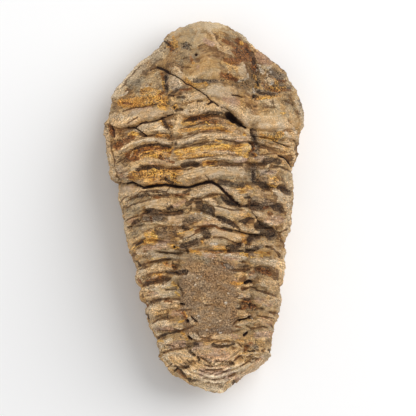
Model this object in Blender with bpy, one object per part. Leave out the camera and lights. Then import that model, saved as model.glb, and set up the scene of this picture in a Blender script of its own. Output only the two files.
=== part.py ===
"""Calymene trilobite fossil, one stone, lying on its flat underside.

+X is to the right as the fossil is seen from above with its head away, +Y points to the head, +Z is up.
The origin is on the ground, under the middle of the fossil.
All sizes are in millimetres, and become metres where the mesh is made.
"""

import bpy
import numpy as np

MM = 0.001
NAME = "trilobite_fossil"

# Driving dimensions
LENGTH = 92.0
WIDTH = 49.2
HEIGHT = 26.0
HALF_LENGTH = LENGTH / 2
WIDEST_LEVEL = 8.0
DOME_RISE = 15.5
DOME_FULLNESS = 2.6
DOME_ROUNDNESS = 0.58
BASE_SHARE = 0.87

# Left and right edge at stations from the head to the tail: station, left, right
OUTLINE = (
    (44.7, -5.9, 6.2),
    (42.2, -9.6, 10.5),
    (39.2, -11.6, 13.4),
    (35.2, -16.2, 18.8),
    (30.7, -20.7, 22.0),
    (26.2, -23.0, 24.2),
    (21.2, -24.2, 24.7),
    (17.5, -24.6, 24.3),
    (11.7, -23.9, 23.1),
    (7.2, -23.2, 22.4),
    (5.2, -21.7, 22.3),
    (0.0, -20.8, 22.2),
    (-8.0, -19.3, 20.7),
    (-16.0, -17.1, 20.0),
    (-24.0, -15.0, 19.1),
    (-31.5, -13.1, 17.5),
    (-37.0, -10.9, 16.2),
    (-40.7, -8.9, 13.2),
    (-43.2, -5.0, 8.9),
    (-44.8, -1.4, 6.9),
)

# Places across the fossil, left to right, at which each furrow's line is given
ACROSS = (-21.0, -13.5, -8.0, -3.0, 3.0, 8.0, 11.5, 20.0)

# Furrows from the head back, by how far along they lie at those places.
# The first is the rear edge of the head, and the last is the front of the tail.
FURROWS = (
    (19.8, 21.5, 23.4, 22.8, 23.8, 21.8, 19.8, 19.2),
    (15.0, 17.9, 17.2, 18.5, 19.0, 18.2, 17.8, 17.0),
    (11.8, 15.8, 14.8, 15.4, 16.5, 16.1, 16.2, 13.8),
    (8.8, 10.5, 9.8, 10.5, 11.2, 10.8, 11.0, 10.2),
    (5.8, 4.9, 5.1, 5.0, 6.5, 6.1, 5.8, 4.0),
    (0.2, 3.4, 3.2, 2.2, 3.2, 0.5, 0.2, -0.2),
    (-3.5, -0.9, -1.2, -0.5, -2.2, -4.0, -5.0, -5.5),
    (-6.5, -4.0, -4.8, -5.8, -4.8, -6.0, -6.9, -7.5),
    (-11.2, -8.2, -8.8, -8.2, -7.8, -9.2, -9.8, -9.8),
    (-13.2, -11.0, -11.5, -11.0, -10.8, -10.9, -10.6, -12.2),
    (-16.5, -14.0, -12.9, -13.8, -13.8, -14.8, -15.2, -17.5),
    (-21.5, -18.8, -17.8, -18.2, -18.8, -20.2, -20.2, -22.5),
    (-26.5, -24.0, -23.0, -23.2, -23.2, -24.0, -24.2, -27.2),
    (-31.2, -28.5, -27.2, -27.5, -27.8, -28.8, -28.0, -30.0),
    (-36.0, -33.5, -31.5, -31.0, -31.5, -31.0, -30.5, -31.5),
    (-40.2, -37.5, -35.5, -36.0, -34.8, -34.2, -35.8, -36.8),
)
MIDLINE = 1.0
RIB_RELIEF = 1.5
RIB_CREST_SHARE = 0.4
FURROW_SHARE = 0.2

# Axial lobe: left and right furrow at stations from the head to the tail: station, left, right
AXIAL_FURROWS = (
    (46.0, -9.0, 8.0),
    (40.0, -9.8, 10.5),
    (36.0, -10.0, 12.6),
    (28.0, -10.2, 13.0),
    (18.0, -8.0, 12.2),
    (6.0, -7.2, 12.0),
    (-10.0, -7.0, 10.8),
    (-22.0, -6.2, 9.6),
    (-32.0, -4.4, 8.2),
    (-40.0, -1.0, 6.0),
    (-46.0, 2.0, 4.0),
)
AXIS_RELIEF = 2.6
AXIAL_FURROW_DEPTH = 0.9
AXIAL_FURROW_WIDTH = 1.4
AXIS_FADE = 0.8
TAIL_FADE = 0.75

# Head: centre across, centre along, half width, half length
GLABELLA = (0.8, 37.0, 10.8, 10.5)
GLABELLA_RELIEF = 1.4
CHEEKS = ((-15.5, 29.0, 6.5, 8.0), (18.0, 28.5, 5.5, 8.5))
CHEEK_RELIEF = 1.2
HEAD_STEP = 1.1
HEAD_STEP_REACH = 7.0
OCCIPITAL_FURROW = ((-9.5, 29.5), (-6.0, 30.5), (-1.0, 31.6), (6.0, 31.8), (12.0, 31.0))
OCCIPITAL_WIDTH = 1.2
OCCIPITAL_DEPTH = 0.7

# Cracks: the line that each follows, its width and its depth
CRACKS = (
    (((-21.5, 5.8), (-18.0, 6.1), (-14.5, 4.9), (-9.5, 5.4), (-4.0, 5.0), (1.2, 6.3)), 0.8, 1.2),
    (((1.2, 6.3), (3.4, 5.4), (5.8, 3.2), (8.6, 0.6), (12.0, -1.5), (17.5, -6.6)), 1.0, 1.0),
    (((-11.8, 35.2), (-7.2, 32.8), (-3.5, 30.5), (0.5, 27.7), (3.2, 25.6)), 1.0, 0.6),
    (((-16.8, 20.3), (-13.5, 21.7), (-9.8, 23.0)), 0.8, 1.0),
    (((19.2, 12.7), (21.0, 11.4), (22.4, 9.4)), 0.9, 0.9),
    (((-24.0, 20.8), (-22.8, 18.0), (-22.0, 15.0)), 0.9, 0.8),
)

# Recess under the broken rear edge of the head: centre, half length, half width, turn in radians
RECESS = (7.2, 22.0, 3.2, 1.4, -0.75)
RECESS_DEPTH = 2.2

# Smooth rock left over the axis: middle across and along, half width, half length
ROCK_PATCH = (1.2, -22.4, 7.4, 10.8)
ROCK_PATCH_RISE = 0.3

# Tail: ridges that run round it
TAIL_CENTRE = (2.9, -33.0)
TAIL_NARROWNESS = 0.8
TAIL_RIDGE_PITCH = 2.2
TAIL_RIDGE_RELIEF = 0.35

# Broad unevenness of the stone: relief, and each wave's radians per millimetre across and along and its start
UNEVEN_RELIEF = 0.3
UNEVEN_WAVES = ((0.41, 0.17, 0.9), (-0.22, 0.31, 2.3), (0.13, -0.55, 4.0))

# Mesh: cells across, cells along each stretch, and rows round the flank
CELLS_ACROSS = 32
HEAD_CELLS = 24
TAIL_CELLS = 11
RIB_ROWS = (0.0, 0.22, 0.5, 0.78)
FLANK_ROWS_ABOVE = 2
FLANK_ROWS_BELOW = 3
TOP_REACH = 0.965
EDGE_CROWDING = 0.18
END_BOW = 0.2


def smooth_curve(x, stations, values):
    """Cubic curve through the given points, evaluated at x and level beyond them."""
    order = np.argsort(stations)
    xs = np.asarray(stations, float)[order]
    ys = np.asarray(values, float)[order]
    slopes = np.gradient(ys, xs)
    x = np.clip(x, xs[0], xs[-1])
    k = np.clip(np.searchsorted(xs, x) - 1, 0, len(xs) - 2)
    step = xs[k + 1] - xs[k]
    t = (x - xs[k]) / step
    return (
        (2 * t**3 - 3 * t**2 + 1) * ys[k]
        + (t**3 - 2 * t**2 + t) * step * slopes[k]
        + (3 * t**2 - 2 * t**3) * ys[k + 1]
        + (t**3 - t**2) * step * slopes[k + 1]
    )


def ease(x, low, high):
    """0 at low, 1 at high, smooth between."""
    t = np.clip((x - low) / (high - low), 0.0, 1.0)
    return t * t * (3.0 - 2.0 * t)


def distance_to_line(x, y, line):
    """Distance in plan from each point to a broken line."""
    best = np.full(x.shape, np.inf)
    for (x0, y0), (x1, y1) in zip(line[:-1], line[1:]):
        dx, dy = x1 - x0, y1 - y0
        t = np.clip(((x - x0) * dx + (y - y0) * dy) / (dx * dx + dy * dy), 0.0, 1.0)
        best = np.minimum(best, np.hypot(x - x0 - t * dx, y - y0 - t * dy))
    return best


def mound(x, y, centre_x, centre_y, half_x, half_y, turn=0.0):
    """1 over the middle of an oval, falling smoothly to 0 outside it."""
    c, s = np.cos(turn), np.sin(turn)
    u = ((x - centre_x) * c + (y - centre_y) * s) / half_x
    v = ((y - centre_y) * c - (x - centre_x) * s) / half_y
    return np.exp(-((u * u + v * v) ** 1.5))


def plan_place(p, q):
    """Where a point of the unit disc lies within the fossil's outline."""
    station, left, right = (np.array(column) for column in zip(*OUTLINE))
    along = station / HALF_LENGTH
    roundness = np.sqrt(1.0 - along**2)
    middle = smooth_curve(q, along, (left + right) / 2)
    spread = smooth_curve(q, along, (right - left) / 2 / roundness)
    return middle + p * spread, q * HALF_LENGTH


def dome_height(rho):
    """Height of the smooth upper side at a share of the way out to the edge."""
    fall = np.maximum(1.0 - rho**DOME_FULLNESS, 0.0)
    return WIDEST_LEVEL + DOME_RISE * fall**DOME_ROUNDNESS


def dome_reach(height):
    """The share of the way out at which the smooth upper side has this height."""
    fall = ((height - WIDEST_LEVEL) / DOME_RISE) ** (1 / DOME_ROUNDNESS)
    return (1.0 - fall) ** (1 / DOME_FULLNESS)


def furrow_lines(x):
    """How far along each furrow lies at the given places across."""
    return [smooth_curve(x, ACROSS, line) for line in FURROWS]


def rib_number(x, y):
    """Counts ribs from the head back: whole on each furrow, and in between on the rib."""
    lines = furrow_lines(x)
    number = np.zeros_like(x)
    for ahead, behind in zip(lines[:-1], lines[1:]):
        number += np.clip((ahead - y) / (ahead - behind), 0.0, 1.0)
    return number


def unevenness(x, y):
    """Slow swells of the stone, between -1 and 1."""
    total = sum(np.sin(across * x + along * y + start) for across, along, start in UNEVEN_WAVES)
    return total / len(UNEVEN_WAVES)


def lobes(x, y, rho):
    """The raised axis with its two furrows, the glabella and the cheeks."""
    station, left, right = zip(*AXIAL_FURROWS)
    left, right = smooth_curve(y, station, left), smooth_curve(y, station, right)
    inside = np.minimum(x - left, right - x)
    share = np.clip(2 * inside / (right - left), 0.0, 1.0)
    out = AXIS_RELIEF * (1.0 - (1.0 - share) ** 2)
    out -= AXIAL_FURROW_DEPTH * np.exp(-((inside / AXIAL_FURROW_WIDTH) ** 2))
    out += GLABELLA_RELIEF * mound(x, y, *GLABELLA)
    for cheek in CHEEKS:
        out += CHEEK_RELIEF * mound(x, y, *cheek)
    return out * (1.0 - AXIS_FADE * ease(rho, 0.55, 1.0))


def ribs(x, y, rho):
    """Ribs with a narrow furrow between each two, left out where smooth rock covers them."""
    number = rib_number(x, y)
    furrow = np.exp(-(((number - np.round(number)) / FURROW_SHARE) ** 2))
    on_thorax = ease(number, 0.0, 0.2) * ease(len(FURROWS) - 1 - number, 0.0, 0.2)
    centre_x, centre_y, half_x, half_y = ROCK_PATCH
    rock = 1.0 - ease(((x - centre_x) / half_x) ** 4 + ((y - centre_y) / half_y) ** 4, 0.6, 1.3)
    height = RIB_RELIEF * (RIB_CREST_SHARE - furrow) * on_thorax * (1.0 - 0.45 * ease(rho, 0.7, 1.0))
    return height * (1.0 - 0.85 * rock) + ROCK_PATCH_RISE * rock


def relief(x, y, rho):
    """How far the surface stands out from the smooth dome, at plan places and their share of the way out."""
    lines = furrow_lines(x)
    ahead_of_thorax = y - lines[0]
    behind_thorax = lines[-1] - y
    out = lobes(x, y, rho) * (1.0 - TAIL_FADE * ease(behind_thorax, 0.0, 5.0))
    out += ribs(x, y, rho) + UNEVEN_RELIEF * unevenness(x, y)
    step_fade = np.exp(-np.maximum(ahead_of_thorax, 0.0) / HEAD_STEP_REACH)
    out += HEAD_STEP * ease(ahead_of_thorax, -0.2, 0.8) * step_fade
    out -= OCCIPITAL_DEPTH * np.exp(-((distance_to_line(x, y, OCCIPITAL_FURROW) / OCCIPITAL_WIDTH) ** 2))
    round_tail = np.hypot((x - TAIL_CENTRE[0]) * TAIL_NARROWNESS, y - TAIL_CENTRE[1])
    ridges = np.cos(2 * np.pi * round_tail / TAIL_RIDGE_PITCH)
    out += TAIL_RIDGE_RELIEF * ridges * ease(behind_thorax, 0.0, 1.5)
    for line, width, depth in CRACKS:
        out -= depth * np.exp(-((distance_to_line(x, y, line) / width) ** 2))
    return out - RECESS_DEPTH * mound(x, y, *RECESS[:4], turn=RECESS[4])


def row_places():
    """Where the mesh rows cross the midline, tail to head: even over head and tail, in step with the ribs."""
    furrows = [float(line) for line in furrow_lines(np.float64(MIDLINE))]
    end = HALF_LENGTH * TOP_REACH
    rows = list(np.linspace(end, furrows[0], HEAD_CELLS + 1)[:-1])
    for ahead, behind in zip(furrows[:-1], furrows[1:]):
        rows += [ahead + (behind - ahead) * share for share in RIB_ROWS]
    rows += list(np.linspace(furrows[-1], -end, TAIL_CELLS + 1))
    return np.array(rows[::-1])


def furrow_bend(x, y):
    """How much further along than on the midline a row lies, so that rows follow the furrows."""
    marks = [HALF_LENGTH] + [float(line) for line in furrow_lines(np.float64(MIDLINE))] + [-HALF_LENGTH]
    bends = [np.zeros_like(x)] + [line - mark for line, mark in zip(furrow_lines(x), marks[1:-1])]
    bends.append(np.zeros_like(x))
    bend = np.zeros_like(x)
    for k in range(len(marks) - 1):
        share = (marks[k] - y) / (marks[k] - marks[k + 1])
        here = (share >= 0.0) & (share < 1.0)
        bend = np.where(here, bends[k] + (bends[k + 1] - bends[k]) * share, bend)
    return bend


def top_grid():
    """Rows and columns over the upper side, as points of the unit disc."""
    side = np.linspace(-1, 1, CELLS_ACROSS + 1)
    side = side * (1 + EDGE_CROWDING - EDGE_CROWDING * side**2) * TOP_REACH
    u, v = np.meshgrid(side, row_places() / HALF_LENGTH, indexing="ij")
    bowed = v * np.sqrt(1 - END_BOW * u**2 * v**4)
    across, _ = plan_place(u * np.sqrt(1 - bowed**2), bowed)
    q = bowed + furrow_bend(across, v * HALF_LENGTH) / HALF_LENGTH
    edge = q[0] * (1 - u) / 2 + q[-1] * (1 + u) / 2
    return u * np.sqrt(1 - edge**2), q


def rim_indices(rows):
    """Vertex numbers round the grid's border, counter-clockwise as seen from above."""
    columns = CELLS_ACROSS + 1
    tail = [i * rows for i in range(columns - 1)]
    right = [(columns - 1) * rows + j for j in range(rows - 1)]
    head = [i * rows + rows - 1 for i in range(columns - 1, 0, -1)]
    left = list(range(rows - 1, 0, -1))
    return tail + right + head + left


def smooth_body():
    """Dome, flank and flat underside with the relief's height for each point: points, relief, faces, rim."""
    p, q = top_grid()
    rows = p.shape[1]
    rho = np.hypot(p, q)
    x, y = plan_place(p, q)
    points = [np.stack([x, y, dome_height(rho)], axis=-1).reshape(-1, 3)]
    heights = [relief(x, y, rho).reshape(-1)]
    faces = [
        (i * rows + j, (i + 1) * rows + j, (i + 1) * rows + j + 1, i * rows + j + 1)
        for i in range(CELLS_ACROSS)
        for j in range(rows - 1)
    ]

    rim = rim_indices(rows)
    rim_rho = rho.reshape(-1)[rim]
    out_p, out_q = p.reshape(-1)[rim] / rim_rho, q.reshape(-1)[rim] / rim_rho
    rim_height = dome_height(rim_rho)
    rim_relief = relief(x.reshape(-1)[rim], y.reshape(-1)[rim], np.ones_like(rim_rho))
    rings = []
    for step in range(1, FLANK_ROWS_ABOVE + 1):
        height = rim_height + (WIDEST_LEVEL - rim_height) * step / FLANK_ROWS_ABOVE
        rings.append((dome_reach(height), height, 1.0))
    for step in range(1, FLANK_ROWS_BELOW + 1):
        share = step / FLANK_ROWS_BELOW
        height = np.full_like(rim_height, WIDEST_LEVEL * (1.0 - share))
        rings.append((1.0 - (1.0 - BASE_SHARE) * share**2.2, height, 1.0 - share))
    upper = rim
    count = len(points[0])
    for reach, height, strength in rings:
        x, y = plan_place(out_p * reach, out_q * reach)
        points.append(np.stack([x, y, height], axis=-1))
        heights.append(rim_relief * strength)
        lower = list(range(count, count + len(rim)))
        count += len(rim)
        for k in range(len(rim)):
            after = (k + 1) % len(rim)
            faces.append((upper[k], lower[k], lower[after], upper[after]))
        upper = lower
    faces.append(tuple(reversed(upper)))
    return np.concatenate(points), np.concatenate(heights), faces


def make_fossil():
    """The fossil as one closed mesh, with its relief, at its real size."""
    points, heights, faces = smooth_body()
    mesh = bpy.data.meshes.new(NAME)
    mesh.from_pydata((points * MM).tolist(), [], faces)
    normals = np.zeros(len(points) * 3)
    mesh.vertex_normals.foreach_get("vector", normals)
    points += normals.reshape(-1, 3) * heights[:, None]

    low, high = points.min(axis=0), points.max(axis=0)
    size = np.array([WIDTH, LENGTH, HEIGHT])
    middle = np.array([(low[0] + high[0]) / 2, (low[1] + high[1]) / 2, low[2]])
    points = (points - middle) * size / (high - low)
    mesh.vertices.foreach_set("co", (points * MM).reshape(-1))
    mesh.shade_smooth()
    mesh.update()

    fossil = bpy.data.objects.new(NAME, mesh)
    bpy.context.scene.collection.objects.link(fossil)
    return fossil


def stone_material():
    """Dull tan stone."""
    stone = bpy.data.materials.new("fossil_stone")
    stone.use_nodes = True
    surface = stone.node_tree.nodes["Principled BSDF"]
    surface.inputs["Base Color"].default_value = (0.36, 0.25, 0.15, 1.0)
    surface.inputs["Roughness"].default_value = 0.85
    surface.inputs["Metallic"].default_value = 0.0
    return stone


for old in list(bpy.data.objects):
    bpy.data.objects.remove(old)
make_fossil().data.materials.append(stone_material())
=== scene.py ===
"""Looks of the calymene trilobite fossil: ribs with wear, cracks, ledges and mineral stains on one stone,
with painted shade in its cracks and hollows and painted highlights on its crests and lips.

The form is that of the CAD part, with the same axes and the same origin on the ground, on a finer mesh.
Lengths are in millimetres until the mesh is made. Marks are placed in pixels of the photograph, which the
camera at the end of this script sees as it did.
"""

import itertools
import math

import bpy
import numpy as np
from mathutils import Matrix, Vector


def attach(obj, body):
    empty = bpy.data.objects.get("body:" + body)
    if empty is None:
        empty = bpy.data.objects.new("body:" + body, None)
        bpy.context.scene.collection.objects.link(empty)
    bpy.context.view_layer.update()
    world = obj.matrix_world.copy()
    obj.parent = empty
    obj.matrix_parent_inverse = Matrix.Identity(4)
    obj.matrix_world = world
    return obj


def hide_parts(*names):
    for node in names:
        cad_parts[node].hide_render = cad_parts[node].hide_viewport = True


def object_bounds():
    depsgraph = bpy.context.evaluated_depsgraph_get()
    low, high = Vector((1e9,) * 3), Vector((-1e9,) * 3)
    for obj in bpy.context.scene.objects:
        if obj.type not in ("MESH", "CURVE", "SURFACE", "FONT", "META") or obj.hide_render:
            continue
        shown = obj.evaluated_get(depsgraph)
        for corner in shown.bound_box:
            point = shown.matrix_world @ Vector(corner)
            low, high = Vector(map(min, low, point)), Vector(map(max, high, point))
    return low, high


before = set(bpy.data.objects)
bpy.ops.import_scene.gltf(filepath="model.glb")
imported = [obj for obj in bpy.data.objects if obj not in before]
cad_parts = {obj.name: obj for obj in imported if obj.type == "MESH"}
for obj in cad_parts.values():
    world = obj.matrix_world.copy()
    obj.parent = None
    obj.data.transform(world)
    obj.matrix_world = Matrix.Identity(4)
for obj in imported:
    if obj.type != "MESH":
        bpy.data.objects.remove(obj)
cad_low, cad_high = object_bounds()

MM = 0.001
PIECE = "fossil_surface"
NODE = "trilobite_fossil"
SLOT = "fossil_stone"

# Form shared with the CAD part
_, LENGTH, HEIGHT = ((cad_high - cad_low) / MM)[:]
HALF_LENGTH = LENGTH / 2
WIDEST_LEVEL = 8.0
DOME_RISE = 15.5
DOME_FULLNESS = 2.6
DOME_ROUNDNESS = 0.58
BASE_SHARE = 0.87
FLANK_TUCK = 2.2

# Photograph: its size, the real size of a pixel at the widest level, and the camera above it
PHOTO_SIDE = 416
PIXEL = 0.25
MIDDLE_COLUMN = 204
MIDDLE_ROW = 207
AIM_X = (PHOTO_SIDE / 2 - MIDDLE_COLUMN) * PIXEL
AIM_Y = (MIDDLE_ROW - PHOTO_SIDE / 2) * PIXEL
CAMERA_DISTANCE = 1100.0
SENSOR = 36.0

# Left and right edge at rows of the photograph, head to tail: row, left, right
EDGE_PIXELS = (
    (28.2, 180.4, 228.8),
    (35, 168, 241),
    (41, 164, 246),
    (53, 154, 261),
    (65, 140, 278),
    (71, 134, 283),
    (83, 122, 291),
    (95, 114, 298),
    (101, 112, 300),
    (113, 111, 302),
    (119, 109, 302),
    (125, 106, 302),
    (131, 105, 301),
    (143, 107, 298),
    (161, 108, 296),
    (167, 110, 293.5),
    (173, 110, 292),
    (180, 113, 293),
    (185, 118, 293),
    (203, 119.5, 293),
    (212, 121.5, 291),
    (221, 123.5, 290),
    (239, 126, 286),
    (245, 128, 284),
    (257, 131, 285),
    (269, 137, 283),
    (281, 136, 282),
    (287, 140, 280),
    (299, 141, 281),
    (305, 146, 279),
    (317, 146, 278),
    (323, 149, 275),
    (335, 155, 272),
    (347, 158, 271),
    (359, 161, 267),
    (365, 166, 262),
    (371, 168, 255),
    (379.8, 184, 239.6),
    (386.2, 198.4, 231.6),
)

# Places across the fossil, left to right, at which each furrow's line is given
ACROSS = (-21.0, -13.5, -8.0, -3.0, 3.0, 8.0, 11.5, 20.0)

# Furrows from the head back, by how far along they lie at those places.
# The first is the rear edge of the head, and the last is the front of the tail.
FURROWS = (
    (19.6, 21.3, 23.2, 22.2, 23.6, 21.6, 19.6, 19.2),
    (14.8, 17.5, 16.8, 18.3, 18.8, 18.2, 17.8, 16.6),
    (11.4, 15.4, 14.6, 15.2, 16.5, 15.9, 16.2, 13.6),
    (8.6, 10.1, 9.6, 10.3, 11.3, 10.6, 10.6, 10.2),
    (5.8, 4.9, 5.1, 4.8, 6.5, 6.1, 5.8, 3.8),
    (0.2, 3.4, 3.2, 2.0, 3.0, 0.3, 0.0, -0.6),
    (-3.7, -1.1, -1.4, -0.5, -2.4, -4.2, -5.0, -5.5),
    (-6.5, -4.2, -5.0, -6.0, -4.8, -6.0, -6.9, -7.4),
    (-11.2, -8.4, -9.0, -8.4, -7.8, -9.4, -10.0, -9.8),
    (-13.2, -11.0, -11.8, -11.0, -10.8, -11.1, -10.8, -12.2),
    (-16.5, -14.0, -13.2, -13.8, -13.8, -15.0, -15.2, -17.5),
    (-21.5, -19.0, -18.3, -18.2, -18.8, -20.4, -20.4, -22.5),
    (-26.5, -24.2, -23.2, -23.2, -23.2, -24.0, -24.6, -27.0),
    (-31.4, -28.7, -27.6, -27.5, -27.8, -28.8, -28.0, -30.0),
    (-36.0, -33.5, -31.7, -31.2, -31.7, -31.0, -30.7, -31.5),
    (-40.2, -37.5, -35.7, -36.2, -35.0, -34.4, -35.8, -36.8),
)
MIDLINE = 1.0
RIB_PITCH = 4.1
RIB_RELIEF = 0.75
RIB_CREST_SHARE = 0.4
FURROW_SHARE = 0.13
SLIT_SHARE = 0.07
SLIT_DEPTH = 0.3

# Wear at which a furrow and a slit begin to show and show in full
FURROW_WEAR = (0.1, 0.7)
SLIT_WEAR = (0.35, 0.75)

# Fading of the relief: share of a rib over which the thorax starts and ends, share of the way out at
# which ribs and rim begin to fade, and how much of them is gone at the edge
THORAX_END = 0.2
RIM_START = 0.75
RIM_FADE = 0.7
RIB_FADE = 0.75

# Axial lobe: left and right furrow at stations from the head to the tail: station, left, right
AXIAL_FURROWS = (
    (46.0, -9.0, 8.0),
    (40.0, -9.8, 10.5),
    (36.0, -10.0, 12.6),
    (28.0, -10.2, 13.0),
    (18.0, -8.0, 12.2),
    (6.0, -7.2, 12.0),
    (-10.0, -7.0, 10.8),
    (-22.0, -6.2, 9.6),
    (-32.0, -4.4, 8.2),
    (-40.0, -1.0, 6.0),
    (-46.0, 2.0, 4.0),
)
AXIS_RELIEF = 2.6
AXIAL_FURROW_DEPTH = 0.45
AXIAL_FURROW_WIDTH = 1.4
AXIS_FADE = 0.8
AXIS_FADE_START = 0.55
TAIL_FADE = 0.75
TAIL_FADE_REACH = 5.0

# Head: centre across, centre along, half width, half length
GLABELLA = (0.8, 37.0, 10.8, 10.5)
GLABELLA_RELIEF = 1.4
CHEEKS = ((-15.5, 29.0, 6.5, 8.0), (18.0, 28.5, 5.5, 8.5))
CHEEK_RELIEF = 1.2
HEAD_STEP = 1.1
HEAD_STEP_REACH = 7.0
OCCIPITAL_FURROW = ((-9.5, 29.5), (-6.0, 30.5), (-1.0, 31.6), (6.0, 31.8), (12.0, 31.0))
OCCIPITAL_WIDTH = 1.2
OCCIPITAL_DEPTH = 0.7

# Rear edge of the head: how far ahead of it the step, and then the head's kind of stone, start and are full
HEAD_STEP_EDGE = (-0.2, 0.8)
HEAD_EDGE = (-1.0, 2.0)

# Recess under the broken rear edge of the head: centre, half length, half width, turn in radians
RECESS = (7.2, 22.0, 3.2, 1.4, -0.75)
RECESS_DEPTH = 2.2

# Smooth rock left over the axis: middle across and along, half width, half length; then how far it rises,
# where its edge starts and ends on the fourth power of the way out, and how much of ribs and grain it hides
ROCK_PATCH = (1.2, -22.4, 7.4, 10.8)
ROCK_PATCH_RISE = 0.3
ROCK_PATCH_EDGE = (0.4, 1.5)
ROCK_PATCH_COVER = 0.85
ROCK_PATCH_SMOOTHNESS = 0.55

# Tail: ridges that run round it, and the length over which they begin
TAIL_CENTRE = (2.9, -33.0)
TAIL_NARROWNESS = 0.8
TAIL_RIDGE_PITCH = 1.3
TAIL_RIDGE_RELIEF = 0.2
TAIL_RIDGE_WANDER = 0.25
TAIL_START = 1.5

# Broad unevenness of the stone: relief, and each wave's radians per millimetre across and along and its start
UNEVEN_RELIEF = 0.3
UNEVEN_WAVES = ((0.41, 0.17, 0.9), (-0.22, 0.31, 2.3), (0.13, -0.55, 4.0))

# Mesh: cells across and along, rows round the flank, rings in under the stone by their share of the way
# out, and which of those rings have half as many points as the one before
CELLS_ACROSS = 190
CELLS_ALONG = 374
GRID_SHAPE = (CELLS_ACROSS + 1, CELLS_ALONG + 1)
FLANK_ROWS_ABOVE = 5
FLANK_ROWS_BELOW = 12
RELIEF_PASSES = 3
UNDERSIDE_REACHES = (0.83, 0.76, 0.6, 0.4, 0.2)
HALVED_RINGS = (1, 2)
TOP_REACH = 0.965
EDGE_CROWDING = 0.18
END_BOW = 0.2
GROUND_LEVEL = 0.02

# Cracks: depth in mm, half width in pixels, then the points that the crack follows, x and y in pixels. The
# depth also sets the painted shade in each crack.
CRACKS = (
    (1.0, 1.6, 157, 66.5, 162, 68, 167, 70.5),
    (0.8, 0.95, 166, 71, 175, 75.5, 181, 79, 186, 83, 190, 84.5, 196, 88, 202, 92, 207, 96, 212, 101.5),
    (0.9, 1.1, 208, 104, 212, 101, 215, 103, 218, 105.5),
    (0.6, 0.8, 221, 107, 226, 108, 230, 111),
    (0.6, 0.9, 232, 95, 237, 95, 243, 97),
    (1.2, 1.0, 119, 184, 126, 184, 132, 183, 138, 186, 145, 188),
    (1.4, 1.2, 143, 188, 152, 186.5, 165, 185, 177, 187, 188, 187.5, 200, 184, 208, 182),
    (1.5, 1.4, 206, 182, 212, 182, 219, 186, 233, 200, 240, 205),
    (0.6, 0.8, 205, 175, 208, 178, 210, 182),
    (0.7, 0.7, 252, 212, 257, 218, 263, 225),
    (0.9, 0.9, 127, 127.5, 133, 127, 137, 129, 143, 133, 146, 136),
    # Painted shadow line under the raised band at the back of the left cheek, cut as a crack
    (1.1, 1.1, 136, 126.5, 143, 122, 152, 121, 160, 118.5, 167, 115, 172, 113.5),
    (0.4, 0.6, 123, 112, 132, 108, 145, 106, 158, 103.5),
    (0.9, 1.1, 280, 156, 285, 158, 289, 162, 292, 167),
    (0.5, 0.6, 288, 119.5, 293, 125, 297, 130),
    (0.4, 0.7, 258, 129, 270, 129, 285, 128.5, 294, 130),
    (0.8, 1.0, 110, 125, 112.5, 131, 114, 137),
    (0.5, 0.7, 114, 139, 115, 146, 116, 150),
    (0.6, 0.8, 235, 230, 247, 234, 258, 235),
    (0.6, 0.7, 160, 253.5, 172, 254, 185, 253.5),
    (0.9, 1.0, 240, 320.5, 245, 319, 251, 316.5),
    (0.7, 1.0, 191, 317, 194, 320, 197, 322),
    (0.7, 0.9, 274, 141, 290, 147),
    (0.6, 0.7, 274, 166, 283, 167, 289, 170),
    (0.6, 0.8, 250, 142, 252, 144, 254, 150),
    # The darkest of the recess under the broken rear edge of the head, cut and painted as its shadow
    (1.7, 3.2, 230, 115.5, 234, 119.5),
    (1.0, 1.2, 235, 120, 240, 124, 246, 127.5),
    (1.2, 1.5, 245.5, 283.5, 249, 281.5, 252, 282),
    (0.9, 1.1, 180, 304.5, 184, 304.5),
    (1.0, 1.3, 188, 337, 191, 340),
    (1.1, 1.5, 245.5, 336, 248, 333.5),
    (0.5, 0.9, 158, 114, 165, 114),
)

# Small holes: depth in mm, half width in pixels, x and y in pixels. The depth also sets the painted shade in
# each hole.
HOLES = (
    (1.1, 1.7, 196, 53.5),
    (0.8, 1.6, 174, 107),
    (0.7, 1.2, 190, 112),
    (0.7, 1.5, 254, 97),
    (0.8, 1.3, 182, 304.5),
    (1.0, 2.0, 187.3, 321.5),
    (0.8, 1.5, 189, 339),
    (0.8, 1.6, 247, 335),
    (0.7, 1.2, 233, 364),
    (0.9, 1.6, 249, 282),
    (0.7, 1.0, 163, 113.5),
    (0.7, 1.2, 243, 262),
    (0.9, 1.7, 174, 247),
    (0.7, 1.2, 211, 102),
    (0.6, 1.0, 271, 127),
)

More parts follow.
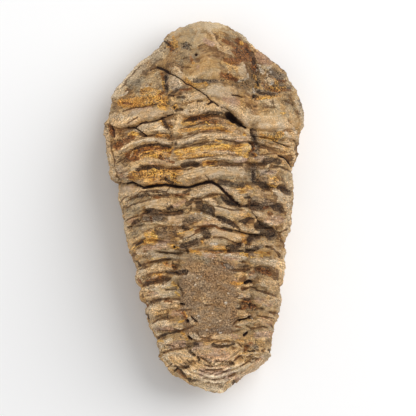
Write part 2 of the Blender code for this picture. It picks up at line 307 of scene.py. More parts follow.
# Stains and raised or sunken patches, each as its half width in pixels and then its points in pixels
OCHRE = (
    (3.5, 120, 103, 130, 102, 143, 100, 155, 97, 165, 100),
    (3, 143, 92, 152, 90, 160, 93),
    (3, 125, 105, 140, 104, 152, 103),
    (2.5, 160, 105, 168, 107, 176, 107),
    (1.2, 161, 71, 163, 80, 164, 90),
    (1.8, 173, 37, 175, 43, 173, 47),
    (1.4, 191, 57, 193, 63),
    (2, 185, 78, 190, 82),
    (2, 192, 84, 200, 86, 206, 84),
    (2, 241, 42),
    (2, 252, 60, 256, 66),
    (1.5, 254, 75, 256, 80),
    (2.5, 257, 86, 265, 87, 275, 89, 285, 88),
    (2, 275, 80, 278, 84),
    (1.8, 256, 98, 272, 96, 279, 96),
    (4, 185, 122, 200, 118, 215, 118, 225, 124, 232, 127),
    (2, 180, 131, 200, 128, 215, 127, 232, 128),
    (2, 160, 122, 172, 127),
    (2, 157, 136, 163, 134, 168, 136),
    (3, 131, 134),
    (3.2, 178, 152, 190, 150, 205, 148, 220, 147, 235, 148, 246, 147),
    (2, 180, 158, 200, 155, 215, 153),
    (3, 238, 152, 247, 155),
    (6, 136, 154, 150, 152, 165, 152),
    (5, 133, 176, 145, 175, 158, 174, 170, 173, 178, 172),
    (4, 150, 181, 160, 180, 172, 180),
    (3, 262, 136, 270, 138, 276, 139, 280, 134),
    (1.5, 245, 133),
    (2, 255, 155),
    (3, 205, 163, 215, 163),
    (3.5, 270, 183, 275, 180, 278, 185),
    (4, 240, 190, 248, 188),
    (3.5, 242, 213, 247, 216),
    (2, 269, 213),
    (5.5, 150, 235, 152, 240),
    (3, 140, 243, 145, 242),
    (1.5, 168, 244, 178, 248),
    (2.5, 242, 236, 246, 242),
    (2, 223, 248, 225, 252),
    (2, 215, 247, 230, 251),
    (2, 190, 250, 200, 254),
    (1.5, 202, 242),
    (1.5, 205, 252, 215, 252),
    (1.5, 226, 253, 237, 254, 247, 255),
    (3, 155, 276, 161, 277),
    (2, 165, 264, 172, 266, 175, 268),
    (2, 173, 283, 178, 287),
    (1.5, 177, 293),
    (2, 232, 283, 240, 284),
    (1.5, 227, 63, 238, 62),
    (2, 198, 85, 206, 84),
    (2, 157, 276, 162, 275),
    (2.5, 256, 254, 268, 254),
    (1.3, 181, 332, 184, 334),
    (1, 185, 337, 187, 340),
    (1.2, 184, 312, 187, 318),
    (3, 222, 128, 232, 130),
    (1.5, 167, 46, 171, 43),
    (1.2, 177, 41, 176, 46),
    (1.5, 132, 152, 138, 150),
)
CREAM = (
    (1.5, 158, 50, 147, 58, 138, 66, 127, 78, 119, 87, 113, 98),
    (4, 175, 70, 178, 76),
    (4, 172, 82, 178, 84),
    (2, 143, 87, 148, 85),
    (4, 185, 98, 195, 96, 205, 93),
    (5, 212, 90, 225, 92, 232, 92),
    (2.5, 190, 106, 200, 103, 208, 105, 217, 107),
    (2.5, 178, 118, 185, 112, 195, 109, 210, 107, 222, 109, 228, 113),
    (4, 113, 118, 125, 116, 155, 112, 170, 111),
    (3, 115, 123, 125, 124, 135, 120),
    (4, 138, 129, 150, 127, 160, 126),
    (2.5, 115, 160, 118, 152, 124, 146, 133, 141, 145, 139, 158, 139.5, 170, 142),
    (3, 176, 142, 190, 138, 205, 135.5, 220, 135, 235, 136, 248, 137),
    (1.5, 232, 131, 243, 134),
    (3, 280, 131, 298, 138),
    (3, 240, 117, 255, 118, 285, 122),
    (4, 262, 125, 290, 126),
    (2, 296, 100, 302, 115, 301, 130),
    (2, 286, 141, 291, 148, 294, 158),
    (1.5, 200, 153, 215, 152, 235, 153),
    (1.8, 182, 162, 200, 160, 220, 158, 240, 159),
    (1.5, 140, 159, 155, 161, 168, 162),
    (2, 140, 155, 150, 158),
    (4, 118, 165, 128, 175),
    (2, 108, 132, 110, 150, 113, 165, 116, 178),
    (4.5, 180, 175, 210, 171, 225, 171, 240, 172),
    (4, 120, 190, 130, 192, 142, 190),
    (3, 190, 189, 205, 187, 215, 189),
    (2, 160, 190, 185, 193),
    (2.5, 190, 198, 205, 193, 220, 190),
    (2.5, 233, 192, 242, 195, 250, 193),
    (2.5, 205, 198, 215, 203),
    (4.5, 150, 206, 160, 204, 168, 202),
    (4, 172, 218, 180, 216, 178, 222),
    (3, 222, 207, 232, 211, 242, 214),
    (2.5, 255, 213, 265, 216),
    (3, 280, 200, 284, 208),
    (3, 287, 195, 289, 215, 285, 235),
    (2.5, 275, 190, 283, 197),
    (3.5, 243, 226, 252, 230),
    (3, 210, 219, 220, 224),
    (2.5, 186, 238, 193, 235, 199, 238),
    (3.5, 215, 231, 225, 234, 236, 238),
    (2.5, 211, 240, 216, 244),
    (1.5, 243, 245, 256, 249),
    (2, 265, 243, 275, 248, 282, 254),
    (2, 228, 254, 245, 258),
    (3, 258, 259, 284, 266),
    (3, 140, 252, 160, 256),
    (3, 140, 274, 150, 270, 165, 267, 170, 267),
    (3, 145, 290, 155, 287, 170, 284),
    (2, 148, 296, 165, 296),
    (4, 150, 310, 160, 306, 175, 303),
    (3, 152, 326, 165, 323, 180, 326),
    (3, 158, 345, 170, 341),
    (3, 165, 357, 180, 354, 192, 354),
    (3, 262, 283, 275, 284, 281, 283),
    (2, 240, 296, 248, 295),
    (2, 262, 303, 278, 300),
    (2.5, 242, 312, 246, 316),
    (2, 258, 321, 268, 321),
    (2, 270, 316, 277, 320),
    (2, 283, 262, 282, 280, 280, 300, 277, 318),
    (4, 250, 375, 262, 366, 268, 355),
    (1.5, 208, 30, 213, 36, 218, 46, 226, 52),
    (3, 226, 48, 231, 52),
    (1.5, 213, 101, 219, 104, 224, 107),
    (1.5, 190, 106, 198, 103.5, 206, 102),
    (1.3, 196, 36, 200, 30),
    (2.5, 191, 334, 199, 338),
    (2, 214, 337, 230, 337),
    (3, 240, 313, 244, 314),
    (2, 186, 371, 192, 373),
    (3, 208, 387, 222, 388),
    (3, 196, 352, 210, 350),
    (4, 206, 378, 222, 380),
    (3, 245, 370, 255, 365),
    (2, 202, 298, 205, 302),
    (1.8, 238, 324, 246, 322.5),
    (3, 166, 357, 178, 356, 188, 358),
    (3, 262, 362, 250, 371),
    (3, 240, 376, 246, 374),
    (2, 268, 352, 270, 357),
    (3.5, 240, 64, 242, 70, 243, 76),
    (2.5, 241, 80, 246, 78),
    (2.5, 207, 241, 216, 243),
    (1.8, 238, 288, 244, 286, 251, 284.5),
    (1.6, 190, 318, 193, 323),
)
DARK = (
    (1.2, 258, 91.5, 266, 93.5, 275, 94),
    (1.5, 253, 96, 256, 96),
    (3, 193, 119),
    # Painted shadow in the recess under the broken rear edge of the head
    (3, 228, 114, 240, 124),
    (1.5, 163, 120, 168, 128),
    (1.8, 140, 134, 145, 136),
    (2, 176, 144),
    (1.3, 134, 149, 145, 145, 158, 144, 170, 147),
    (3, 183, 165, 190, 163, 197, 165),
    (1.0, 246, 163, 250, 164),
    (3, 265, 161, 273, 160, 279, 162),
    (1.6, 137, 170, 145, 168, 155, 166, 158, 168),
    (1.8, 166, 180, 172, 183),
    (3, 220, 182, 232, 184, 242, 185),
    (3, 255, 181, 268, 188),
    (3, 280, 187, 289, 193),
    (3.2, 147, 212, 154, 211, 160, 213),
    (2.2, 160, 214, 170, 214, 182, 212),
    (1.5, 186, 203, 190, 203),
    (2.6, 223, 197, 228, 202, 236, 204),
    (1.5, 240, 206, 248, 206),
    (1.3, 246, 198, 250, 198),
    (2, 254, 204, 258, 205),
    (2.8, 274, 207, 279, 205, 278, 209),
    (2, 243, 221, 249, 219),
    (6, 260, 226, 266, 231, 272, 234),
    (3, 258, 237),
    (4, 204, 231, 207, 235),
    (3, 250, 240, 252, 237),
    (1.5, 136, 245, 142, 242),
    (2.4, 182, 246, 190, 245, 197, 241),
    (2.5, 228, 247, 236, 248, 240, 245),
    (2, 247, 251, 253, 250, 258, 248),
    (1, 228, 251, 240, 251, 248, 252),
    (1.2, 235, 270, 250, 270),
    (1.5, 166, 272, 172, 273, 180, 273, 187, 271),
    (1.5, 147, 315, 149, 318),
    (1.3, 158, 338, 165, 334, 178, 332),
    (1.8, 133, 223, 138, 221),
    (1.5, 184, 192, 190, 190),
    (1.5, 187, 205, 189, 202, 193, 199),
    (3.8, 198, 201, 199, 205, 202, 208),
    (2.5, 205, 206, 210, 207, 213, 210),
    (1.5, 214, 212, 213, 216),
    (1.6, 183, 227, 188, 229),
    (1.3, 217, 217, 224, 218, 231, 221, 240, 230),
    (1.3, 222, 228, 232, 231),
    (1.5, 252, 205, 257, 204),
    (2.5, 275, 208, 280, 205, 281, 211),
    (1.2, 246, 222, 250, 219, 253, 219),
    (1.2, 240, 222, 245, 223),
    (1.5, 167, 209, 171, 207),
    (1.3, 226, 196, 232, 197),
    (1.3, 165, 42, 168, 44),
    (1.1, 164, 47),
    (1.2, 247, 48, 251, 53, 254, 56, 254, 64),
    (1.5, 252, 52, 254, 56, 255, 62),
    (1.4, 172, 92, 178, 90),
    (1.2, 197, 101, 202, 100.5),
    (1.5, 176, 110, 182, 109),
    (1.2, 188, 120, 193, 119),
    (1.1, 258, 68),
    (1, 264, 70),
    (1.1, 266, 78),
    (1.3, 178, 97, 184, 97),
    (1.3, 137, 262, 139, 266),
    (1.3, 186, 249, 188, 252),
    (1.2, 180, 272, 186, 274),
    (1, 237, 309, 241, 308),
    (1, 250, 303, 250, 308),
    (1.3, 190, 351, 195, 355),
    (1.2, 188, 360, 191, 363),
    (1.3, 186, 368, 190, 366),
    (1.2, 269, 350, 270, 352),
    (1.3, 232, 386, 235, 383),
    (1.1, 175, 366, 184, 368),
    (1.2, 198, 357, 199, 361),
    (1.3, 244, 299, 249, 300),
    (1.7, 213, 344.5, 218, 346.5, 227, 346.5, 233, 344),
    (1, 249, 351.5, 255, 351.5),
    (1.3, 194, 344.5, 198, 345),
    (1.2, 174, 372, 177, 368),
    (1.3, 178, 369, 182, 372, 185, 376),
    (1.2, 187, 378.5, 191, 380.5, 196, 381.5),
    (1.3, 230, 364, 234, 364.5),
    (1, 183.5, 45.5),
    (1, 189, 44.5),
    # Painted shadow under the rear edge of the head
    (1.2, 205, 115, 218, 115),
    (4, 262, 230, 270, 236),
    (1.2, 257, 82, 258, 86),
    (1.2, 251, 130, 252, 134),
    (1.4, 254, 137, 256, 144),
    (1.3, 253, 172, 255, 179),
    (1.2, 165, 75, 166, 79),
    (1.2, 166, 86, 167, 91),
    (1.1, 169, 95, 173, 96),
    (2.2, 220, 219, 228, 221, 234, 226),
    (2.5, 150, 212, 157, 213),
)
RUST = (
    (3, 238, 40, 244, 46, 249, 53, 253, 60, 255, 68),
    (4, 236, 50, 245, 58),
    (2, 225, 60, 238, 64),
    (2, 222, 76, 236, 80),
    (1.6, 150, 148, 160, 149, 170, 152),
    (2.4, 126, 155, 138, 159),
    (2, 110, 126, 114, 136),
    (1.5, 118, 143, 121, 148),
    (1.3, 195, 232, 203, 226, 215, 226, 225, 230),
    (1.3, 183, 313, 187, 320),
    (2.2, 130, 157, 134, 160),
    (2.3, 116, 146, 118, 149),
    (2, 128, 138, 133, 138),
    (1.5, 160, 156, 167, 161),
    (2, 162, 148, 168, 148),
    (1.4, 208, 163, 213, 163),
    (1.4, 249, 152, 252, 150),
    (1.2, 254, 154, 255, 156),
    (1.2, 170, 162, 174, 163),
    (1.2, 168, 158, 167, 162),
    (2, 139, 149, 146, 150),
    (1.2, 128, 177, 133, 177),
    (1.4, 264, 208, 268, 207),
    (1.8, 269, 213, 272, 214),
    (1, 150, 217, 151, 222),
    (1, 200, 211),
    (1.3, 176, 195, 188, 194),
    (1.5, 281, 187, 288, 190),
    (1, 242, 243, 246, 240),
    (1.2, 154, 197, 160, 198),
    (1.5, 191, 57, 192, 60),
    (1.2, 180, 90, 191, 88),
    (1.2, 262, 84, 266, 88, 274, 90, 280, 92),
    (1.5, 282, 89, 290, 90),
    (1.3, 160, 95, 163, 92),
    (1.3, 162, 73, 163, 79),
    (1.2, 233, 45, 238, 52),
    (1.1, 211, 252.5, 222, 252.5),
    (1.2, 226, 253, 240, 253.5),
    (1.3, 166, 264, 168, 265),
    (1.5, 172, 265, 176, 269),
    (1.3, 159, 277, 164, 277),
    (1.2, 138, 279, 141, 282),
    (3, 260, 269, 266, 272, 269, 274),
    (1.5, 250, 275, 254, 272),
    (0.8, 222, 263, 225, 268),
    (1.2, 242, 289, 248, 288),
    (1.3, 150, 283, 158, 280),
    (1, 164, 301, 172, 302),
    (1.2, 242, 302, 250, 300.5),
    (1, 242, 309, 246, 309),
    (0.8, 236, 327, 243, 328),
    (1.5, 236, 359, 241, 356),
    (1.3, 229, 376, 235, 373.5),
    (1.2, 147, 305, 148, 308),
    (1, 251, 302, 252, 309),
    (2.2, 245, 350, 248, 346, 252, 344),
    (2, 245, 307, 254, 306),
    (1.8, 176, 370, 180, 373, 186, 378),
    (2, 168, 42, 172, 49),
    (2.5, 222, 74, 230, 76),
    (2, 224, 40, 232, 43),
    (3, 248, 50, 252, 58),
    (2.5, 200, 121, 222, 122),
    (2, 134, 157, 140, 151, 150, 148),
    (1.5, 160, 158, 168, 161),
    (1.2, 279, 80, 286, 81),
    (1.5, 253, 143, 254, 149),
    (2.5, 226, 60, 240, 60),
    (3, 124, 141, 132, 137),
    (2.5, 118, 147, 122, 144),
    (2.8, 192, 118, 208, 117.5, 221, 120),
    (0.9, 146, 238),
    (0.9, 151, 236),
    (0.9, 151, 241),
    (0.8, 156, 240),
    (1.2, 140, 242, 145, 243),
    (1.5, 251, 256, 262, 257),
    (1.3, 148, 281, 160, 277.5),
    (1.2, 122, 103, 132, 104),
    (1.2, 268, 232, 274, 236),
)
STRAW = (
    (7, 206, 64, 207, 74),
    (4, 225, 62, 235, 70),
    (3, 225, 74, 240, 80),
    (4, 222, 40, 230, 46),
    (3, 284, 162, 289, 167),
    (2, 209, 169),
    (2.5, 260, 151, 266, 151),
    (2, 282, 145, 288, 150),
    (4, 186, 173, 200, 173),
    (2, 132, 194),
    (2, 172, 241, 178, 239),
    (1.8, 205, 199, 208, 199),
    (3, 241, 190, 250, 189),
    (2, 254, 194, 262, 195),
    (2, 172, 196, 178, 197),
    (3, 222, 211, 236, 213),
    (3, 215, 30, 222, 34),
    (2, 188, 81),
    (6, 208, 66, 212, 74),
    (2, 146, 126, 156, 127),
    (2, 238, 288, 242, 287),
    (2, 262, 249, 267, 249),
    (2, 236, 275, 246, 274),
    (2.5, 157, 342, 166, 341),
    (2.5, 238, 324, 245, 322, 250, 321),
    (2.5, 237, 341, 244, 342),
    (3, 168, 358, 180, 360),
    (2, 222, 350, 226, 350),
    (1.5, 245, 373, 258, 367, 264, 361),
    (2, 252, 340, 260, 342),
    (2.5, 190, 213, 198, 216),
    (3, 142, 130, 158, 127),
    (3, 258, 252, 266, 251, 274, 254),
)
GOLD = (
    (2.5, 148, 236, 152, 238),
    (1.2, 140, 243, 146, 241),
    (1.5, 171, 246, 176, 248),
    (1.8, 148, 156, 157, 156),
    (1.5, 163, 151, 168, 150, 172, 148),
    (2.2, 150, 172, 158, 174, 164, 172),
    (1.8, 146, 180, 151, 182),
    (2, 133, 133, 137, 134),
    (2.5, 176, 152, 184, 154),
    (1.8, 186, 149, 198, 148),
    (2, 205, 147, 215, 145, 228, 146),
    (1, 176, 182, 182, 183),
    (2.5, 168, 176, 174, 175),
    (1.3, 216, 140, 221, 141),
    (2.3, 246, 147, 248, 150),
    (1.2, 268, 139, 275, 139),
    (1, 260, 141),
    (1.4, 269, 183, 274, 186, 279, 185),
    (1.2, 275, 181),
    (1.2, 244, 188, 243, 190),
    (1.2, 279, 137),
    (1.2, 244, 134, 246, 135),
    (1.3, 139, 169, 146, 169),
    (1.3, 152, 168, 156, 170),
    (3.5, 149, 236, 154, 237),
    (0.8, 178, 234, 186, 231, 193, 229),
    (1, 241, 214, 244, 215),
    (1.2, 241, 42, 242, 44),
    (2, 146, 103, 152, 103, 157, 100),
    (1.5, 150, 93, 154, 97),
    (1.5, 158, 99, 163, 102),
    (1.3, 158, 106, 164, 107),
    (1.2, 160, 109.5, 166, 110),
    (1.2, 218, 124, 223, 126),
    (1, 205, 122, 210, 124),
    (1, 256, 86, 262, 88),
    (1, 262, 97, 270, 98),
    (1, 280, 113, 284, 113),
    (0.8, 132, 249, 137, 246),
    (0.9, 152, 259, 160, 258, 166, 257),
    (1, 168, 287, 176, 285),
    (1.3, 176, 292, 179, 295),
    (1.3, 192, 252, 198, 251),
    (1.2, 215, 249, 226, 248),
    (1, 237, 284, 243, 283),
    (1.4, 252, 257, 262, 256),
    (1.5, 240, 254, 247, 254),
    (1, 179, 322, 183, 321),
    (0.7, 241, 321.5, 246, 321),
    (1, 238, 340, 243, 341),
    (0.9, 158, 341, 164, 341),
    (0.8, 240, 354, 248, 353.5),
    (3, 150, 240, 154, 239),
)
PINK = (
    (4, 172, 218, 180, 216, 178, 222),
    (4, 120, 169, 124, 175),
    (2, 205, 153, 220, 151, 232, 153),
    (2, 150, 162, 168, 162),
    (2.2, 140, 159, 146, 159),
    (3, 238, 139, 246, 138),
    (2, 200, 161, 205, 161),
    (2, 262, 172, 275, 172),
    (2, 256, 158, 262, 158),
    (2.5, 236, 160, 245, 160),
    (3, 124, 190, 132, 188),
    (1.5, 130, 222, 133, 219),
    (2, 160, 242, 168, 241),
    (1.8, 195, 189, 205, 186, 216, 185),
    (3, 214, 232, 222, 234),
    (4, 268, 220, 280, 220),
    (1.5, 224, 188, 230, 193),
    (3, 206, 222, 216, 221),
    (2, 174, 206, 184, 201),
    (2, 198, 67),
    (4, 258, 56, 268, 62),
    (5, 226, 97, 235, 102),
    (3, 130, 112, 150, 109),
    (1.5, 200, 129, 212, 129),
    (2.5, 205, 40, 212, 44),
    (3, 168, 82, 176, 82),
    (3, 146, 248, 165, 246),
    (2.5, 150, 294, 157, 294),
    (3, 226, 257, 240, 257),
    (2, 232, 283, 236, 281),
    (2.2, 241, 295, 245, 297),
    (3, 206, 254, 213, 256),
    (3, 174, 313, 182, 312),
    (3, 257, 335, 270, 334),
    (3, 255, 368, 264, 360),
    (2, 232, 336, 236, 337),
    (7, 200, 350, 222, 356),
    (7, 206, 372, 226, 374),
    (3, 158, 328, 170, 328),
    (3, 262, 320, 270, 322),
    (4, 172, 346, 182, 344),
    (3, 258, 300, 270, 304),
    (4, 238, 378, 252, 370, 262, 360),
)
GREY = (
    (1.5, 134, 197, 142, 193, 152, 193),
    (1.5, 150, 194, 158, 195, 168, 193),
    (1.6, 175, 143),
    (1.5, 187, 143),
    (1.2, 138, 172, 142, 174),
    (1.2, 144, 174, 150, 173),
    (1.8, 163, 181, 168, 183),
    (1.5, 266, 171, 262, 174),
    (1.6, 162, 152, 164, 158),
    (1.6, 140, 195, 150, 194, 165, 195),
    (1.8, 144, 219, 149, 218),
    (2.5, 208, 212, 211, 213),
    (3.2, 225, 199, 230, 203),
    (4, 186, 223, 191, 219, 198, 218),
    (2.2, 222, 222, 230, 225),
    (4.5, 254, 207, 262, 205, 269, 203),
    (3, 250, 240, 257, 238),
    (1.8, 162, 230, 166, 228),
    (3, 186, 46),
    (5, 273, 72, 280, 77),
    # Painted shadow cast by the rear edge of the head on the first ring
    (1.5, 196, 113.5, 208, 112, 222, 112.5),
    (1.6, 149, 96.5),
    (1.5, 212, 96, 218, 94),
    (3, 283, 86, 288, 88),
    (1.2, 299, 100, 301, 110, 302, 118),
    (1.2, 186, 126, 192, 125),
    (1.5, 176, 272, 186, 271),
    (2.2, 226, 265, 231, 268),
    (1.8, 238, 266, 248, 266),
    (2, 250, 250, 262, 246),
    (1.5, 180, 325, 185, 327),
    (2, 182, 364, 188, 365),
    (2, 254, 346, 257, 349),
    (2, 195, 81, 216, 81),
    (1, 237.5, 40, 238, 44),
    (2, 164, 121, 166, 127),
    (4, 255, 200, 262, 202),
    (2.5, 166, 76, 166.5, 91),
    (2.4, 257, 91, 266, 93, 276, 94),
    (3, 253, 131, 255, 140, 256, 150, 257, 156),
    (2.6, 253, 166, 254, 178),
    (3.5, 183, 246, 190, 245, 197, 242),
    (2.5, 140, 196, 148, 192, 160, 193, 166, 195),
    (3, 143, 216, 150, 219, 160, 218),
    (3, 174, 88, 186, 87),
)
# Thin dark lines: painted shade under ledges, rib edges and furrows, and dark lines of the stone; each sunk a
# little
SHADOW_AND_DARK_LINES = (
    (0.8, 136, 196, 141, 192, 150, 191, 158, 190.5, 166, 192),
    (0.8, 176, 148, 184, 148, 190, 146, 197, 143.5, 206, 142, 214, 141.5),
    (0.8, 217, 139, 224, 139.5, 231, 141, 240, 143),
    (0.7, 200, 144, 210, 144.5, 220, 144),
    (0.7, 186, 159, 204, 157),
    (0.9, 166, 168.5, 180, 168.5, 187, 170, 192, 168.5),
    (1, 212, 164, 222, 165, 236, 165, 243, 163, 249, 162.5, 253, 166),
    (0.9, 243, 142, 249, 141.5, 253, 146),
    (0.6, 257, 148, 270, 147, 280, 149),
    (0.7, 260, 155, 270, 154, 278, 153),
    (0.9, 268, 168, 280, 167, 288, 170, 291, 172),
    (0.7, 123, 159, 127, 154, 132, 150, 136, 147, 142, 145.5),
    (0.8, 136, 169, 142, 166, 150, 165.5, 158, 165.5, 162, 167),
    (0.8, 117, 176, 121, 180),
    (0.7, 117, 163, 122, 160),
    (0.7, 294, 140, 297, 146),
    (0.7, 280, 188, 286, 189),
    (0.7, 148, 136, 158, 133, 166, 134, 170, 139),
    (0.6, 160, 180, 168, 178),
    (0.6, 176, 139, 184, 138, 192, 136, 198, 133),
    (0.8, 126, 208, 133, 204.5, 142, 202, 150, 199),
    (0.8, 127, 203, 130, 199.5, 135, 197, 138, 197),
    (0.7, 147, 195.5, 158, 196, 168, 195),
    (0.7, 126, 221, 131, 218, 138, 216),
    (0.9, 140, 220, 141, 215, 146, 211),
    (1.2, 160, 213, 170, 213, 182, 213.5),
    (0.7, 128, 228, 135, 223),
    (0.6, 141, 222, 150, 221),
    (0.8, 148, 230, 152, 228, 160, 226, 164, 229),
    (0.6, 133, 238, 137, 236),
    (0.8, 137, 244, 141, 240, 145, 238),
    (0.8, 200, 199, 206, 197, 214, 195, 222, 194, 228, 196),
    (0.8, 216, 206, 232, 210, 242, 210),
    (0.8, 182, 213, 188, 213, 191, 210, 191, 206),
    (0.8, 213, 237, 222, 237, 236, 243),
    (0.7, 183, 231, 192, 228, 200, 226),
    (0.8, 262, 191, 268, 190, 272, 192),
    (1.2, 240, 206, 248, 206),
    (0.8, 279, 232, 281, 237, 282, 242),
    (0.8, 281, 233, 286, 229),
    (0.7, 276, 226, 278, 230),
    (0.7, 253, 209, 258, 211, 264, 211),
    (0.8, 182, 226, 190, 225, 196, 222),
    (0.7, 188, 238, 196, 233, 200, 231),
    (0.7, 120, 203, 124, 198, 128, 196),
    (0.7, 170, 186, 166, 192, 168, 197),
    (0.8, 206, 204, 212, 206, 215, 210),
    (0.7, 150, 70, 155, 68, 158, 67),
    (0.8, 184, 46),
    (0.8, 188, 43.5),
    (0.7, 187, 48),
    (0.8, 191, 45),
    (0.6, 182, 67, 190, 67),
    (0.8, 107, 124, 112, 126, 118, 128.5, 124, 129, 128, 127),
    # Painted shadow cast by the rear edge of the head on the first ring
    (1, 183, 122, 190, 118.5, 200, 116, 210, 115.5, 219, 116, 227, 118.5),
    (1.1, 208, 104, 213, 102),
    (0.8, 232, 94.5, 238, 95.5, 243, 97),
    (0.8, 284, 100, 290, 102.5, 294, 105),
    (0.6, 127, 124, 133, 120, 138, 117),
    (0.8, 186, 30),
    (0.7, 183, 58, 187, 57),
    (0.7, 198, 123, 203, 124),
    (0.7, 213, 123, 216, 124),
    (0.7, 180, 129, 190, 126, 198, 124),
    (0.8, 173, 95, 181, 94),
    (0.7, 255, 100, 258, 96),
    (0.7, 273, 100, 274, 106),
    (0.6, 266, 107, 276, 107),
    (0.7, 152, 132, 158, 132),
    (0.8, 236, 56, 240, 57),
    (0.7, 146, 83, 150, 85),
    (0.7, 163, 125, 166, 128),
    (0.6, 136, 92, 146, 91),
    (0.8, 160, 252, 170, 253, 178, 254.5),
    (0.7, 180, 251, 188, 251),
    (0.7, 142, 294, 142, 298),
    (0.7, 146, 296, 150, 295),
    (0.8, 221, 262.5, 226, 263),
    (1.1, 230, 270, 238, 271, 246, 270, 252, 268, 257, 268),
    (1.1, 240, 261.5, 246, 262.5),
    (1, 266, 246, 272, 248, 277, 252, 280, 256),
    (1, 256, 268, 262, 266, 268, 267, 272, 271, 275, 275),
    (1.1, 256, 290, 264, 292, 276, 296),
    (0.8, 171, 271, 178, 275, 186, 274),
    (0.7, 143, 287, 150, 284, 158, 282),
    (0.7, 165, 290, 170, 290, 176, 289),
    (0.7, 180, 290, 184, 294),
    (1, 172, 262, 173, 267, 177, 269),
    (0.7, 208, 251, 216, 250.5, 224, 251.5),
    (0.8, 153, 323, 158, 320, 168, 317),
    (0.7, 155, 318, 160, 315, 167, 314),
    (0.8, 167, 315, 168, 320),
    (0.9, 176, 311, 186, 310, 191, 310),
    (1, 178, 332, 186, 329, 193, 326),
    (0.9, 197, 331, 199, 336, 203, 338.5, 208, 338, 211, 336),
    (1, 233, 325, 238, 320),
    (0.7, 213, 343, 218, 341.5, 226, 341.2, 234, 342),
    (0.9, 257, 309, 262, 309),
    (1.1, 270, 312.5, 278, 313.5),
    (0.9, 247, 326, 252, 329, 264, 327, 268, 328),
    (1.1, 192, 361, 195, 364),
    (0.8, 201, 358, 205, 360, 210, 363),
    (0.8, 205, 365, 212, 366),
    (1, 206, 370, 214, 370.5, 222, 370),
    (0.9, 235, 361, 241, 356),
    (0.9, 247, 357, 250, 356),
    (0.9, 252, 359, 255, 358),
    (0.9, 250, 362, 253, 362),
    (1, 262, 351, 265, 349),
    (0.8, 226, 378, 232, 375, 237, 372),
    (0.7, 204, 373, 216, 374, 228, 372),
    (0.7, 203, 378, 216, 379, 226, 378),
    (0.7, 206, 383, 218, 384, 230, 381),
    (0.6, 166, 368, 172, 364),
    (0.7, 244, 304, 250, 305),
    (0.8, 205, 306, 212, 305),
    (0.7, 258, 316, 272, 318),
    (0.7, 166, 345, 174, 347),
    (0.7, 158, 330, 170, 331),
    (0.7, 216, 361, 226, 363, 232, 362),
    (0.7, 240, 366, 250, 361),
    (0.7, 196, 370, 204, 372),
    (0.45, 152, 58, 144, 64, 136, 71, 129, 78, 122, 87),
    (0.6, 112, 142, 113, 155, 116, 170, 119, 180),
    (0.8, 123, 111.5, 133, 107.5, 142, 107, 150, 105.5, 157, 103.5),
    (0.7, 120, 148, 126, 144, 133, 140),
    (0.8, 122, 128.5, 119, 134),
    (0.8, 263, 225, 268, 230, 273, 231.5, 277, 233),
    (1.0, 138, 267, 148, 263, 160, 260, 170, 259),
    (1.3, 143, 286, 150, 282, 160, 279, 166, 278),
    (0.8, 178, 285, 180, 288),
    (0.7, 181, 289, 183, 293, 182, 297),
    (1.3, 150, 303, 156, 301, 168, 299),
    (1, 243, 290, 250, 287, 256, 288),
    (0.8, 260, 291, 266, 292, 272, 294),
    (1, 163, 353, 170, 350.5, 180, 349, 190, 347),
    (0.8, 239, 344, 242, 347),
)
# Lips of ribs, ledges and layers, painted as thin pale highlights where they catch the light, and raised a
# little
LIP_HIGHLIGHTS = (
    (0.8, 140, 207, 150, 202, 160, 199, 166, 198),
    (1, 122, 150, 130, 144, 140, 140.5, 150, 139.5, 162, 140),
    (0.8, 130, 157, 134, 152),
    (0.9, 136, 162, 150, 160, 160, 160.5),
    (0.8, 190, 139, 200, 136.5, 212, 135, 226, 136),
    (0.8, 293, 150, 294, 162),
    (0.8, 283, 157, 289, 163, 291, 170),
    (0.7, 110, 150, 112, 165),
    (0.8, 118, 194, 120, 202),
    (0.8, 150, 193.5, 162, 193.5),
    (0.8, 146, 224, 156, 222.5, 165, 224),
    (0.9, 121, 216, 124, 224, 128, 234),
    (0.9, 147, 207, 156, 204, 166, 205),
    (0.9, 173, 225, 180, 225),
    (0.8, 254, 233, 260, 232),
    (0.8, 186, 236, 196, 234),
    (0.9, 288, 204, 289, 220, 286, 234),
    (0.8, 150, 57, 138, 68, 128, 79, 118, 89, 113, 98),
    (0.9, 122, 125, 128, 120, 136, 116, 140, 116),
    (1.3, 264, 124, 272, 126, 280, 122),
    (0.8, 170, 68, 178, 70, 184, 74),
    (0.8, 252, 116, 262, 117, 280, 116),
    (0.8, 242, 36, 250, 44, 258, 51),
    (0.8, 175, 112, 168, 112),
    (1, 284, 250, 283, 265, 282.5, 278),
    (1.1, 152, 290, 158, 287, 164, 285),
    (1, 142, 272, 150, 269, 160, 267),
    (0.9, 236, 256, 246, 258),
    (0.9, 258, 260, 270, 260, 280, 262),
    (0.9, 144, 291, 148, 289),
    (1.2, 149, 308, 158, 307),
    (1, 195, 363, 202, 367, 212, 368.5, 222, 368),
    (0.8, 224, 370, 234, 367, 244, 362),
    (0.8, 206, 376, 220, 376, 232, 371, 242, 366),
    (0.8, 210, 381, 222, 382, 234, 378),
    (0.8, 208, 386, 220, 387, 230, 385),
    (1, 241, 355, 250, 354, 258, 353),
    (0.9, 190, 366, 196, 372),
    (0.9, 164, 355, 174, 354),
    (0.8, 152, 326, 162, 323),
    (1, 160, 350, 163, 346),
    (0.8, 170, 373, 178, 378),
)
